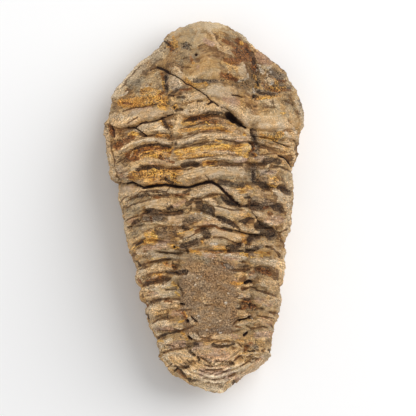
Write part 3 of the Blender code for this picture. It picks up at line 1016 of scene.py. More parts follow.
PALE = (
    (3, 172, 252, 176, 258),
    (3, 118, 96, 126, 84, 140, 70, 154, 58, 164, 48),
    (2.5, 163, 47, 170, 38, 180, 30),
    (4, 185, 28, 200, 25, 215, 28),
    (2.5, 106, 130, 107, 150, 110, 172, 113, 180),
    (4, 124, 198, 130, 206, 128, 216),
    (3, 125, 225, 130, 240),
    (3, 136, 270, 140, 280),
    (3, 144, 292, 150, 302),
    (2.5, 152, 316, 156, 330),
    (4, 288, 112, 292, 125, 290, 140),
    (3, 287, 170, 290, 185, 289, 200),
    (3, 280, 262, 281, 275),
    (3, 270, 290, 278, 305),
    (3, 262, 322, 270, 330),
    (3, 262, 350, 267, 358),
    (8, 175, 358, 185, 358),
    (9, 200, 356, 230, 356),
    (9, 200, 374, 225, 378),
    (8, 215, 384, 220, 386),
    (5, 235, 340, 238, 350),
    (5, 240, 372, 255, 366),
    (4, 172, 122, 176, 126),
    (4, 258, 221, 268, 224),
    (4, 172, 152, 173, 165, 175, 175),
    (3, 240, 285, 243, 289),
    (3, 268, 102, 276, 103),
    (3, 240, 108, 252, 112),
)
SHADE = (
    (3, 150, 60, 140, 72, 128, 84),
    (2.5, 215, 159, 232, 159),
    (3, 118, 162, 124, 157),
    (2, 265, 144, 280, 145),
    (2, 238, 170, 248, 174),
    (2, 134, 204, 145, 200, 158, 198, 168, 198),
    (2, 153, 218, 168, 217),
    (3, 160, 233, 175, 231),
    (3, 228, 204, 238, 207),
    (3, 170, 184, 178, 190),
    (3, 167, 203, 172, 208),
    (4, 130, 84, 150, 64, 158, 57),
    (1.8, 220, 39, 230, 43, 234, 46),
    (2, 114, 104, 117, 112),
    (2.5, 250, 105, 250, 112),
    (3, 248, 123, 262, 124),
    (2.5, 176, 64, 188, 64),
    (3, 240, 88, 248, 88),
    (2, 178, 256, 192, 257),
    (3, 207, 266, 214, 265),
    (2, 200, 288, 204, 286),
    (2, 251, 290, 253, 299),
    (2, 196, 291, 200, 291),
    (4, 216, 300, 222, 312),
    (3, 182, 364, 189, 366),
    (2, 218, 344, 230, 343),
    (3, 250, 304, 254, 308),
    (2, 262, 311, 278, 314),
    (2, 193, 359, 200, 362),
    (6, 172, 46, 172, 62),
    (7, 226, 38, 236, 46, 240, 56),
    (5, 225, 68, 250, 78),
    (6, 262, 80, 275, 84),
    (3, 150, 100, 155, 104),
    (4, 205, 120, 222, 122),
    (3, 140, 154, 160, 153),
    (5, 130, 178, 138, 176),
    (5, 185, 187, 205, 186),
    (3, 238, 178, 248, 176),
    (4, 160, 233, 168, 238),
    (3, 145, 257, 160, 255),
    (3, 190, 248, 196, 246),
    (4, 252, 252, 256, 256),
    (7, 255, 276, 260, 282),
    (3, 248, 312, 256, 314),
    (3, 158, 84, 160, 90),
    (3, 265, 212, 280, 214),
    (2, 116, 164, 118, 166),
    (3, 185, 90, 192, 90),
    (3, 215, 84, 240, 84),
    (3, 146, 240, 150, 246),
    (4, 116, 132, 124, 136),
    (2.5, 139, 264, 150, 261, 166, 258),
    (2, 151, 301, 168, 298),
    (3, 118, 160, 124, 164),
    (3, 134, 84, 140, 84),
    (3, 236, 92, 238, 98),
    (3, 216, 92, 218, 98),
    (3, 170, 108, 174, 110),
    (4, 180, 86, 176, 92),
    (3, 243, 132, 247, 138),
    (3, 245, 176, 262, 176),
    (3, 165, 215, 166, 220),
    (3, 127, 206, 134, 202, 145, 199),
)
GRAINY = (
    (5, 202, 359, 212, 362, 224, 364),
    (4, 246, 357, 253, 359),
    (3, 166, 346, 180, 345, 192, 348),
    (4, 262, 72, 268, 78, 270, 84),
    (3, 240, 304, 252, 304),
    (2.5, 248, 312, 254, 310),
    (2.5, 187, 119, 192, 117),
    (4, 245, 343, 254, 346),
    (3, 233, 322, 238, 320),
    (3, 184, 364, 190, 366),
    (3, 170, 42, 173, 48),
    (2.5, 200, 114, 224, 113),
    (5, 252, 202, 262, 206, 270, 204),
    (3, 246, 197, 251, 200),
    (3, 108, 128, 112, 136),
    (3, 118, 142, 128, 138),
    (3, 184, 44, 189, 46),
    (3, 251, 66, 254, 74, 258, 80, 257, 86),
    (3.5, 253, 131, 255, 147, 257, 153),
    (4, 252, 170, 254, 178),
    (2.2, 165, 76, 167, 92),
    (2.5, 168, 95, 176, 97),
    (3, 234, 85, 248, 86),
    (3, 284, 78, 291, 86),
    (2.5, 172, 108, 176, 118),
    (3, 165, 205, 174, 209),
    (4, 208, 240, 180, 246),
    (3, 183, 226, 187, 221, 192, 218),
    (3, 164, 119, 167, 128),
    (4, 167, 133, 171, 141),
    (3.5, 185, 242, 196, 242),
    (3, 256, 132, 258, 152),
    (3.5, 256, 170, 259, 178),
    (4, 158, 232, 172, 231),
    (4, 262, 270, 268, 273),
    (3, 243, 303, 251, 306),
    (3, 146, 281, 158, 277),
    (2.5, 170, 270, 184, 273),
    (4, 121, 157, 127, 162),
    (4, 164, 179, 173, 184),
    (3, 236, 84, 247, 84),
    (3, 150, 153, 160, 151),
    (7, 138, 152, 150, 150, 165, 153),
    (6, 140, 172, 155, 172, 172, 176),
    (5, 200, 120, 222, 122),
    (4, 255, 60, 256, 84),
    (4, 263, 88, 280, 88),
    (4, 240, 50, 250, 58),
    (5, 265, 160, 275, 163),
    (4, 264, 138, 280, 136),
    (5, 268, 183, 280, 184),
    (5, 245, 246, 230, 248),
    (4, 148, 100, 165, 102),
    (3, 160, 158, 168, 160),
    (4, 150, 215, 160, 218),
    (3, 172, 265, 176, 270),
    (2.2, 195, 80.5, 206, 81.5, 217, 81),
    (3, 168, 42, 174, 47),
    (4, 253, 66, 256, 76, 256, 86),
    (3, 254, 90, 254, 97),
    (3, 258, 91, 267, 93, 276, 94),
    (4, 254, 131, 255, 144, 256, 156),
    (4, 254, 166, 255, 178),
    (3, 134, 148, 146, 146, 160, 147),
    (2.5, 228, 75, 222, 79),
    (3, 170, 208, 180, 210),
    (4, 224, 200, 238, 205),
    (6, 261, 228, 270, 234),
    (3, 204, 206, 210, 210),
    (3, 204, 230, 209, 234),
    (3, 140, 196, 160, 193),
    (4, 150, 212, 158, 214),
    (3, 222, 220, 232, 225),
    (3, 280, 86, 288, 86),
    (5, 272, 72, 282, 80),
)
GREEN = (
    (7, 188, 32, 186, 42, 192, 52, 182, 58),
    (4, 125, 80, 140, 92),
    (4, 212, 174, 232, 175),
    (2.5, 285, 174, 289, 178),
    (2, 181, 141, 192, 141),
    (2, 132, 202, 138, 198),
    (4, 128, 212, 138, 210),
    (3, 136, 229, 146, 225, 156, 223),
    (3, 128, 236, 138, 234),
    (2, 184, 207, 188, 203),
    (4, 184, 98, 196, 94),
    (4, 284, 100, 292, 108),
    (4, 132, 86, 142, 80),
    (1.5, 238, 41, 240, 44),
    (2, 150, 252, 165, 252),
    (4, 196, 258, 206, 260),
    (2, 252, 262, 256, 263),
    (2.5, 237, 332, 246, 332),
    (2, 251, 331, 260, 332),
    (2, 214, 354, 224, 358),
    (3, 219, 200, 220, 205),
)
WHITE = (
    (1.5, 258, 65, 262, 73),
    (1.5, 268, 68, 271, 66),
    (3.5, 267, 80, 270, 82),
    (1.8, 285, 133, 288, 136),
    (1.2, 296, 138),
    (0.9, 195, 214),
    (0.9, 201, 213),
    (0.9, 222, 225, 228, 224, 232, 226),
    (1.2, 281, 194),
    (0.9, 276, 218),
    (0.9, 272, 224),
    (1.3, 236, 238, 240, 239),
    (0.9, 162, 218),
    (1, 121, 96, 127, 92),
    (1.5, 147, 86),
    (1, 257, 70),
    (1, 261, 66),
    (1, 263, 73),
    (1.2, 267, 75),
    (1, 270, 72),
    (1, 271, 67),
    (1.1, 253, 89, 254, 93),
    (1, 293, 128, 296, 133),
    (0.9, 229, 72),
    (1.2, 244, 66),
    (1, 275, 64),
    (1.3, 139, 253, 145, 253),
    (1, 166, 271, 172, 273),
    (1.6, 211, 244, 216, 244),
    (1, 226, 255, 230, 254.5),
    (0.8, 197, 278),
    (0.8, 191, 281),
    (0.8, 201, 276),
    (0.8, 213, 259),
    (0.8, 228, 293),
    (0.8, 195, 285),
    (1.4, 226, 303),
    (0.8, 213, 313),
    (1, 210, 325),
    (1.4, 220, 333),
    (1, 199, 316),
    (0.8, 207, 330),
    (0.8, 217, 330),
    (0.7, 229, 320),
    (1.2, 177, 328, 182, 328),
    (0.8, 250, 315, 252, 318),
    (0.8, 234, 336),
    (0.8, 274, 301),
    (0.8, 223, 343.5, 226, 343.5),
    (1, 248, 74, 248, 79, 243, 81, 238, 81.5),
)

# Each kind of patch, with how far it stands out or lies in, in mm, and how much of the bends it takes
PATCHES = {
    "ochre": (OCHRE, 0.05, 1.0),
    "cream": (CREAM, 0.22, 1.0),
    "dark": (DARK, -0.3, 1.0),
    "rust": (RUST, -0.1, 1.0),
    "grainy": (GRAINY, 0.0, 1.0),
    "green": (GREEN, 0.0, 1.0),
    "white": (WHITE, 0.2, 1.0),
    "straw": (STRAW, 0.0, 1.0),
    "shade": (SHADE, -0.05, 1.0),
    "pale": (PALE, 0.05, 1.0),
    "gold": (GOLD, 0.05, 1.0),
    "pink": (PINK, 0.0, 1.0),
    "grey": (GREY, -0.1, 1.0),
    # Thin dark lines, partly painted shade, and lips with painted highlights
    "line": (SHADOW_AND_DARK_LINES, -0.25, 0.4),
    "lip_highlight": (LIP_HIGHLIGHTS, 0.15, 0.4),
}

# Broad changes of the stone's look: the oval's middle column and row, half width and half height in pixels,
# how much lighter it is, and how much warmer
BROAD_TONES = (
    (242, 42, 22, 20, -0.2, 0),
    (180, 38, 20, 16, -0.1, 0),
    (152, 66, 20, 16, -0.18, 0),
    (265, 72, 22, 20, -0.17, 0),
    (150, 97, 24, 12, -0.1, 0),
    (126, 102, 13, 7, 0, 0.35),
    (200, 68, 20, 14, -0.06, 0),
    (176, 125, 22, 10, 0.12, 0),
    (275, 120, 25, 12, 0.1, 0),
    (140, 150, 30, 14, 0.1, 0),
    (265, 160, 26, 12, 0.1, 0),
    (270, 215, 20, 24, 0.08, 0),
    (148, 275, 18, 24, 0.15, 0),
    (160, 325, 18, 24, 0.12, 0),
    (205, 365, 70, 26, 0.22, 0),
    (210, 384, 34, 14, 0.22, 0),
    (200, 38, 9, 7, -0.25, 0),
    (160, 78, 14, 12, -0.16, 0),
    (250, 83, 18, 8, -0.3, 0.1),
    (128, 112, 16, 7, -0.1, 0),
    (225, 119, 12, 8, -0.25, 0.1),
    (205, 124, 26, 6, -0.08, 0),
    (250, 177, 12, 10, -0.26, 0),
    (193, 186, 20, 5, -0.3, 0.1),
    (166, 195, 6, 10, -0.15, 0),
    (148, 200, 12, 5, -0.1, 0),
    (257, 293, 9, 8, -0.4, 0),
    (175, 285, 7, 12, -0.3, -0.1),
    (162, 235, 12, 8, -0.12, 0),
    (157, 154, 14, 7, -0.25, 0.25),
    (119, 163, 6, 8, -0.25, 0.1),
    (132, 178, 14, 6, -0.2, 0),
    (180, 254, 18, 5, -0.22, -0.15),
    (264, 256, 14, 5, -0.25, 0),
    (260, 211, 24, 5, -0.1, 0),
    (118, 133, 10, 12, 0.3, 0.25),
    (135, 123, 10, 5, 0.3, 0.1),
    (126, 153, 6, 6, 0.16, 0),
    (148, 145, 12, 4, 0.14, 0.15),
    (143, 168, 6, 5, 0.12, 0),
    (196, 155, 14, 12, 0.1, 0),
    (277, 152, 14, 8, 0.32, 0),
    (228, 150, 6, 5, 0.1, 0),
    (248, 164, 6, 5, 0.14, 0.1),
    (270, 198, 9, 6, 0.35, -0.1),
    (143, 211, 12, 5, 0.16, 0),
    (128, 219, 10, 6, 0.1, 0),
    (134, 252, 6, 10, 0.3, 0.05),
    (134, 72, 14, 9, 0.22, 0),
    (211, 42, 8, 9, 0.18, 0),
    (240, 65, 5, 6, 0.12, 0),
    (258, 50, 14, 8, 0.2, 0),
    (173, 123, 6, 6, 0.12, 0.05),
    (199, 103, 12, 5, 0.08, 0.2),
    (246, 104, 8, 8, 0.2, 0.1),
    (290, 135, 8, 14, 0.1, 0.1),
    (236, 239, 6, 5, 0.3, 0),
    (276, 270, 12, 12, 0.3, 0.05),
    (243, 281, 5, 8, 0.35, 0.2),
    (146, 298, 10, 12, 0.1, 0.1),
    (163, 310, 8, 5, 0.12, 0),
    (208, 339, 10, 5, 0.5, 0.1),
    (210, 360, 30, 10, 0.08, 0.1),
    (183, 367, 14, 10, 0.1, 0.15),
    (235, 379, 6, 5, 0.3, 0),
    (254, 355, 14, 8, 0.1, 0.1),
    (268, 318, 8, 8, 0.12, 0.1),
    (152, 181, 12, 8, 0, 0.25),
    (170, 96, 6, 6, 0, 0.25),
    (191, 65, 7, 8, -0.12, 0.2),
    (252, 56, 8, 10, 0, 0.25),
    (229, 78, 6, 5, 0, 0.25),
    (245, 108, 16, 10, 0, 0.1),
    (205, 225, 12, 5, 0, 0.2),
    (250, 222, 14, 7, 0, 0.2),
    (132, 158, 8, 6, 0, 0.5),
    (284, 190, 7, 7, 0, 0.2),
    (230, 348, 30, 8, 0, 0.12),
    (116, 98, 8, 18, 0, -0.2),
    (134, 74, 12, 12, 0, -0.3),
    (155, 52, 10, 10, 0, -0.3),
    (225, 64, 8, 5, 0, -0.2),
    (218, 243, 8, 5, 0, -0.3),
    (267, 80, 8, 6, 0.2, 0.4),
    (238, 361, 24, 5, 0.3, 0),
    (284, 153, 6, 6, 0.2, 0),
    (188, 378, 6, 5, 0.2, 0),
    (137, 84, 7, 6, -0.25, 0),
    (172, 108, 6, 5, -0.15, 0),
    (178, 324, 7, 6, -0.15, 0),
    (205, 347, 8, 3, -0.2, 0),
    (205, 119, 30, 7, 0, 0.25),
    (150, 152, 20, 8, 0, 0.15),
    (250, 186, 6, 6, 0, -0.25),
    (205, 151, 14, 5, 0, -0.15),
    (205, 24, 30, 5, 0, -0.2),
    (205, 190, 30, 8, 0, 0.1),
    (215, 382, 55, 18, 0, -0.22),
    (260, 364, 12, 16, 0, -0.2),
    (165, 350, 12, 40, 0, -0.1),
    (198, 118, 8, 5, 0, 0.3),
    (185, 122, 6, 5, 0, -0.3),
    (258, 223, 5, 5, 0.3, 0),
    (281, 245, 5, 8, 0.2, 0),
    (251, 334, 7, 5, -0.2, 0),
    (154, 254, 8, 4, -0.2, -0.2),
    (212, 87, 16, 8, -0.13, 0),
    (235, 85, 5, 16, -0.14, 0),
    (280, 110, 8, 8, -0.15, 0),
)

# Smooth places: the oval's middle column and row, half width and half height in pixels
SMOOTH_PLACES = (
    (205, 62, 22, 24),
    (190, 34, 26, 12),
    (208, 28, 32, 7),
    (222, 96, 26, 10),
    (272, 120, 26, 8),
    (150, 113, 26, 5),
    (215, 172, 34, 5),
    (228, 211, 18, 4),
    (176, 218, 8, 6),
    (155, 205, 12, 5),
    (228, 235, 16, 4),
    (128, 188, 10, 5),
    (243, 72, 6, 10),
    (268, 126, 24, 5),
    (266, 253, 12, 4),
    (252, 368, 12, 6),
)

# How patches and cracks bend away from their lines: length of the bends and their reach, both in pixels,
# and the share of those bends that the main form and the cracks take
BENDS = ((6.0, 0.8), (2.5, 0.6))
FORM_BEND = 0.6
CRACK_BEND = 0.3

# Marks: where a stroke's full colour ends and where it is gone, in half widths, how far out a cut reaches,
# in half widths, and how much of the crack's painted shade a millimetre of depth brings
STROKE_CORE = 0.5
STROKE_REACH = 1.6
CUT_REACH = 3.0
CRACK_MASK_GAIN = 1.6

# Wear of the ribs: size of the worn places in mm
WEAR_SIZE = 2.5

# Rough rock: size of the lumps and how far they stand out, both in mm
ROCK_GRAIN = ((3.6, 0.28), (1.7, 0.2), (0.85, 0.14), (0.5, 0.08))
LAYER_STRETCH = 8.0
LAYER_GRAIN = ((1.6, 0.2), (0.8, 0.16), (0.45, 0.1))

# Flakes of the layered stone: length along a rib, width, and how far they stand out, in mm
FLAKES = ((7.0, 2.2, 0.24), (2.6, 1.1, 0.16))
HEAD_FLAKES = ((5.0, 3.4, 0.16), (1.9, 1.4, 0.12))
FLAKE_TILT = 0.6

# Hollows, which take painted shade with dirt, and crests, which take painted highlights with wear: how many
# cells round a point it is compared with, and the depth in mm that counts as full
HOLLOW_REACH = 5
HOLLOW_DEPTH = 0.5

# Random draws that noise and flakes share, and the first seed of each use
RANDOM_ENTRIES = 4096
GRADIENTS = np.random.default_rng(11).normal(size=(RANDOM_ENTRIES, 3))
GRADIENTS /= np.linalg.norm(GRADIENTS, axis=1)[:, None]
CHANCES = np.random.default_rng(12).random((RANDOM_ENTRIES, 6))
HASH_STEPS = np.array([73856093, 19349663, 83492791])
SEED_STEP = 101
NOISE_GAIN = 1.6
ROCK_SEED = 0
LAYER_SEED = 10
BEND_SEEDS = (20, 30)
WEAR_SEED = 40
FLAKE_SEED = 50

# Colours of the stone as they look on screen
TAN_DARK = (116, 86, 54)
TAN = (172, 139, 94)
TAN_PALE = (212, 181, 136)
SPECK_COLOUR = (48, 32, 18)
# Painted shade in the cracks and holes
CRACK_SHADE_COLOUR = (46, 24, 10)
# Painted shade, with dirt, in the hollows
HOLLOW_SHADE_AND_DIRT_COLOUR = (138, 96, 56)
# Painted highlight, with wear, on the crests
CREST_HIGHLIGHT_AND_WEAR_COLOUR = (214, 185, 149)
PIT_COLOUR = (132, 90, 54)
FLECK_COLOUR = (226, 202, 160)
WARM_TINT = (1.06, 0.93, 0.74, 1.0)
COOL_TINT = (0.95, 1.0, 1.1, 1.0)

# Stains: mask, the two colours that speckle it, and its strength
STAINS = (
    ("matrix", (106, 80, 57), (178, 146, 111), 0.8),
    ("shade", (92, 68, 42), (152, 120, 84), 0.45),
    ("pale", (176, 146, 108), (236, 208, 166), 0.55),
    ("green", (124, 108, 82), (176, 158, 126), 0.55),
    ("straw", (152, 114, 66), (218, 182, 126), 0.7),
    ("pink", (148, 112, 90), (212, 176, 150), 0.65),
    ("grey", (84, 70, 58), (146, 126, 104), 0.75),
    ("cream", (160, 128, 92), (236, 208, 166), 0.75),
    ("ochre", (132, 80, 26), (236, 178, 86), 0.82),
    ("rust", (74, 40, 14), (154, 96, 44), 0.85),
    ("gold", (188, 120, 30), (250, 202, 104), 0.85),
    ("white", (164, 144, 120), (230, 216, 194), 0.85),
    ("dark", (34, 20, 10), (104, 78, 52), 0.92),
)
# Thin marks: painted highlights along lips, and thin dark lines that are partly painted shade under ledges
# and partly dark lines of the stone
THIN_STAINS = (
    ("lip_highlight", (196, 164, 122), (242, 218, 180), 0.65),
    ("line", (44, 24, 8), (128, 92, 56), 0.82),
)

# Noises of the material by place: size in mm, detail and roughness
STONE_NOISES = {
    "broad": (4, 3.0, 0.5),
    "middle": (1.1, 3.0, 0.6),
    "fine": (0.42, 3.0, 0.7),
    "grain": (0.3, 1.0, 0.6),
    "hues": (1.3, 3.0, 0.6),
    "lumps": (0.36, 3.0, 0.6),
    "rugged": (2.2, 3.0, 0.6),
    "gritty": (1.8, 2.0, 0.5),
}

# Noises of the material by flow, which follows the layers: size, detail and roughness
STREAKS = (0.8, 4.0, 0.65)
THREADS = (0.32, 3.0, 0.65)
DASHES = (0.3, 2.0, 0.6)
DASH_STRETCH = (2.7, 1.0, 2.7)

# Tone of the plain stone: weights of broad noise, streaks and flakes, and where one tan turns to the next
TONE_WEIGHTS = (0.24, 0.4, 0.36)
DARK_TO_TAN = (0.38, 0.5)
TAN_TO_PALE = (0.5, 0.64)

# How much of the fine detail smooth places lose, and what makes the edges of stains ragged
SMOOTHING = 0.6
SPECKLE_RANGE = (0.38, 0.62)
RAGGED_BASE = 0.07
RAGGED_BY_SPECKLE = 0.6
RAGGED_BY_NOISE = 0.9

# Where each layer of colour starts and where it is full, on its mask or noise, and the share it then takes
STAIN_EDGE = (0.3, 0.58)
THIN_STAIN_EDGE = (0.28, 0.6)
GRAINY_RANGE = (0.2, 0.8)
SPECK_RANGE = (0.5, 0.42)
SPECK_SHARE = 0.85
# Crests take painted highlights with their wear, and hollows painted shade with their dirt
CREST_RANGE = (-0.1, -0.9)
CREST_HIGHLIGHT_AND_WEAR_SHARE = 0.45
CREST_LOSS_ON_DARK = 0.4
HOLLOW_RANGE = (0.1, 1.0)
HOLLOW_SHADE_AND_DIRT_SHARE = 0.5
PIT_RANGE = (0.44, 0.36)
FLECK_RANGE = (0.58, 0.68)
FLECK_SHARE = 0.5
CRACK_RANGE = (0.5, 0.9)
HUE_RANGE = (0.38, 0.92)
HUE_BY_NOISE = 0.8
HUE_BY_FLAKE = 0.5

# From and to on a noise, and the values that these turn into
RUGGED_RANGE = (0.4, 0.62, 0.2, 1.0)
GRITTY_RANGE = (0.36, 0.62, 0.45, 1.15)
LAYER_LIGHT = (0.32, 0.68, 0.84, 1.16)
GRAIN_LIGHT = (0.3, 0.7, 0.64, 1.36)
DASH_LIGHT = (0.36, 0.64, 0.74, 1.26)
ROUGHNESS_RANGE = (0.3, 0.7, 0.72, 0.95)

# Bump: how much grain and detail make it, its strength and its height in mm
BUMP_BY_GRAIN = 0.4
BUMP_BY_DETAIL = 0.7
BUMP_STRENGTH = 0.8
BUMP_DISTANCE = 0.35

# Floor: side in metres
FLOOR_SIDE = 4.0
FLOOR_COLOUR = (0.92, 0.92, 0.92, 1.0)

# Lamps: place in metres from the middle of the fossil, width in metres and power in watts.
# The key lamp lights the fossil, and the side lamp gives the floor its soft shadow on the left.
KEY_LAMP = ((0.05, 0.5, 0.85), 0.9, 4.6)
SIDE_LAMP = ((0.7, 0.52, 0.45), 1.4, 16.5)
SURROUNDING_LIGHT = 0.56


def smooth_curve(x, stations, values):
    """Cubic curve through the given points, evaluated at x and level beyond them."""
    order = np.argsort(stations)
    xs = np.asarray(stations, float)[order]
    ys = np.asarray(values, float)[order]
    slopes = np.gradient(ys, xs)
    x = np.clip(x, xs[0], xs[-1])
    k = np.clip(np.searchsorted(xs, x) - 1, 0, len(xs) - 2)
    step = xs[k + 1] - xs[k]
    t = (x - xs[k]) / step
    return (
        (2 * t**3 - 3 * t**2 + 1) * ys[k]
        + (t**3 - 2 * t**2 + t) * step * slopes[k]
        + (3 * t**2 - 2 * t**3) * ys[k + 1]
        + (t**3 - t**2) * step * slopes[k + 1]
    )


def ease(x, low, high):
    """0 at low, 1 at high, smooth between."""
    t = np.clip((x - low) / (high - low), 0.0, 1.0)
    return t * t * (3.0 - 2.0 * t)


def distance_to_line(x, y, line):
    """Distance in plan from each point to a broken line, or to its one point."""
    if len(line) == 1:
        return np.hypot(x - line[0][0], y - line[0][1])
    best = np.full(x.shape, np.inf)
    for (x0, y0), (x1, y1) in zip(line[:-1], line[1:]):
        dx, dy = x1 - x0, y1 - y0
        t = np.clip(((x - x0) * dx + (y - y0) * dy) / (dx * dx + dy * dy), 0.0, 1.0)
        best = np.minimum(best, np.hypot(x - x0 - t * dx, y - y0 - t * dy))
    return best


def mound(x, y, centre_x, centre_y, half_x, half_y, turn=0.0):
    """1 over the middle of an oval, falling smoothly to 0 outside it."""
    c, s = np.cos(turn), np.sin(turn)
    u = ((x - centre_x) * c + (y - centre_y) * s) / half_x
    v = ((y - centre_y) * c - (x - centre_x) * s) / half_y
    return np.exp(-((u * u + v * v) ** 1.5))


def random_entries(cells, seed):
    """The entry of the random tables that each cell of space takes."""
    return np.bitwise_xor.reduce((cells + seed * SEED_STEP) * HASH_STEPS, axis=1) & (RANDOM_ENTRIES - 1)


def noise(points, seed):
    """Smooth random values, mostly between -1 and 1, over points in space."""
    cell = np.floor(points).astype(np.int64)
    part = points - cell
    fade = part**3 * (part * (part * 6 - 15) + 10)
    total = np.zeros(len(points))
    for corner in itertools.product((0, 1), repeat=3):
        gradient = GRADIENTS[random_entries(cell + corner, seed)]
        weight = np.prod(np.where(np.array(corner) == 1, fade, 1 - fade), axis=1)
        total += weight * np.einsum("ij,ij->i", gradient, part - corner)
    return total * NOISE_GAIN


def flakes(points, seed):
    """Height of broken flakes, one to a cell, each tilted its own way; and their tone and hue."""
    cell = np.floor(points).astype(np.int64)
    nearest = np.full(len(points), np.inf)
    height, looks = np.zeros(len(points)), np.zeros((len(points), 2))
    for step in itertools.product((-1, 0, 1), repeat=3):
        neighbour = cell + step
        entry = random_entries(neighbour, seed)
        away = points - neighbour - CHANCES[entry, :3]
        distance = np.einsum("ij,ij->i", away, away)
        closer = distance < nearest
        nearest[closer] = distance[closer]
        tilted = CHANCES[entry, 3] - 0.5 + np.einsum("ij,ij->i", GRADIENTS[entry], away) * FLAKE_TILT
        height[closer] = tilted[closer]
        looks[closer] = CHANCES[entry, 4:][closer]
    return height, looks


def plan_place(p, q):
    """Where a point of the unit disc lies within the fossil's outline."""
    row, left, right = (np.array(column) for column in zip(*EDGE_PIXELS))
    along = (MIDDLE_ROW - row) * PIXEL / HALF_LENGTH
    left, right = (left - MIDDLE_COLUMN) * PIXEL, (right - MIDDLE_COLUMN) * PIXEL
    roundness = np.sqrt(1.0 - along**2)
    middle = smooth_curve(q, along, (left + right) / 2)
    spread = smooth_curve(q, along, (right - left) / 2 / roundness)
    return middle + p * spread, q * HALF_LENGTH


def dome_height(rho):
    """Height of the smooth upper side at a share of the way out to the edge."""
    fall = np.maximum(1.0 - rho**DOME_FULLNESS, 0.0)
    return WIDEST_LEVEL + DOME_RISE * fall**DOME_ROUNDNESS


def dome_reach(height):
    """The share of the way out at which the smooth upper side has this height."""
    fall = ((height - WIDEST_LEVEL) / DOME_RISE) ** (1 / DOME_ROUNDNESS)
    return (1.0 - fall) ** (1 / DOME_FULLNESS)


def seen_place(points):
    """Where the camera sees points of the stone, as pixels of the photograph."""
    nearer = CAMERA_DISTANCE / (CAMERA_DISTANCE - (points[:, 2] - WIDEST_LEVEL))
    column = PHOTO_SIDE / 2 + (points[:, 0] - AIM_X) / PIXEL * nearer
    row = PHOTO_SIDE / 2 - (points[:, 1] - AIM_Y) / PIXEL * nearer
    return column, row


def furrow_lines(x):
    """How far along each furrow lies at the given places across."""
    return [smooth_curve(x, ACROSS, line) for line in FURROWS]


def rib_number(lines, y):
    """Counts ribs from the head back: whole on each furrow, and in between on the rib."""
    number = np.zeros_like(y)
    for ahead, behind in zip(lines[:-1], lines[1:]):
        number += np.clip((ahead - y) / (ahead - behind), 0.0, 1.0)
    return number


def unevenness(x, y):
    """Slow swells of the stone, between -1 and 1."""
    total = sum(np.sin(across * x + along * y + start) for across, along, start in UNEVEN_WAVES)
    return total / len(UNEVEN_WAVES)


def lobes(x, y, rho):
    """The raised axis with its two furrows, the glabella and the cheeks."""
    station, left, right = zip(*AXIAL_FURROWS)
    left, right = smooth_curve(y, station, left), smooth_curve(y, station, right)
    inside = np.minimum(x - left, right - x)
    share = np.clip(2 * inside / (right - left), 0.0, 1.0)
    out = AXIS_RELIEF * (1.0 - (1.0 - share) ** 2)
    out -= AXIAL_FURROW_DEPTH * np.exp(-((inside / AXIAL_FURROW_WIDTH) ** 2))
    out += GLABELLA_RELIEF * mound(x, y, *GLABELLA)
    for cheek in CHEEKS:
        out += CHEEK_RELIEF * mound(x, y, *cheek)
    return out * (1.0 - AXIS_FADE * ease(rho, AXIS_FADE_START, 1.0))


def rock_patch(x, y):
    """1 over the smooth rock left on the axis, 0 outside it."""
    centre_x, centre_y, half_x, half_y = ROCK_PATCH
    out = ((x - centre_x) / half_x) ** 4 + ((y - centre_y) / half_y) ** 4
    return 1.0 - ease(out, *ROCK_PATCH_EDGE)


def ribs(x, y, rho, number, wear):
    """Ribs with a narrow furrow between each two, left out where smooth rock covers them."""
    off = number - np.round(number)
    furrow = np.exp(-((off / FURROW_SHARE) ** 2)) * ease(wear, *FURROW_WEAR)
    slit = np.exp(-((off / SLIT_SHARE) ** 2)) * ease(wear, *SLIT_WEAR)
    on_thorax = ease(number, 0.0, THORAX_END) * ease(len(FURROWS) - 1 - number, 0.0, THORAX_END)
    rock = rock_patch(x, y)
    height = RIB_RELIEF * (RIB_CREST_SHARE - furrow) - SLIT_DEPTH * slit
    height *= on_thorax * (1.0 - RIB_FADE * ease(rho, RIM_START, 1.0))
    return height * (1.0 - ROCK_PATCH_COVER * rock) + ROCK_PATCH_RISE * rock


def main_relief(x, y, rho, wear):
    """Lobes, ribs, head step, recess and tail ridges; and how far back each point lies."""
    lines = furrow_lines(x)
    number = rib_number(lines, y)
    ahead_of_thorax = y - lines[0]
    behind_thorax = lines[-1] - y
    out = lobes(x, y, rho) * (1.0 - TAIL_FADE * ease(behind_thorax, 0.0, TAIL_FADE_REACH))
    out += ribs(x, y, rho, number, wear) + UNEVEN_RELIEF * unevenness(x, y)
    step_fade = np.exp(-np.maximum(ahead_of_thorax, 0.0) / HEAD_STEP_REACH)
    out += HEAD_STEP * ease(ahead_of_thorax, *HEAD_STEP_EDGE) * step_fade
    out -= OCCIPITAL_DEPTH * np.exp(-((distance_to_line(x, y, OCCIPITAL_FURROW) / OCCIPITAL_WIDTH) ** 2))
    out *= 1.0 - RIM_FADE * ease(rho, RIM_START, 1.0)
    round_tail = np.hypot((x - TAIL_CENTRE[0]) * TAIL_NARROWNESS, y - TAIL_CENTRE[1])
    on_tail = ease(behind_thorax, 0.0, TAIL_START)
    ridges = np.cos(2 * np.pi * (round_tail + TAIL_RIDGE_WANDER * wear) / TAIL_RIDGE_PITCH)
    out += TAIL_RIDGE_RELIEF * ridges * on_tail
    out -= RECESS_DEPTH * mound(x, y, *RECESS[:4], turn=RECESS[4])
    back = RIB_PITCH * number - np.maximum(ahead_of_thorax, 0.0)
    back += np.maximum(behind_thorax, 0.0) * (1 - on_tail) + np.maximum(round_tail, 0.0) * on_tail
    return out, back


def points_near(column, row, line, reach):
    """Whether each point lies within reach of the box round a line."""
    columns, rows = zip(*line)
    near = (column > min(columns) - reach) & (column < max(columns) + reach)
    return near & (row > min(rows) - reach) & (row < max(rows) + reach)


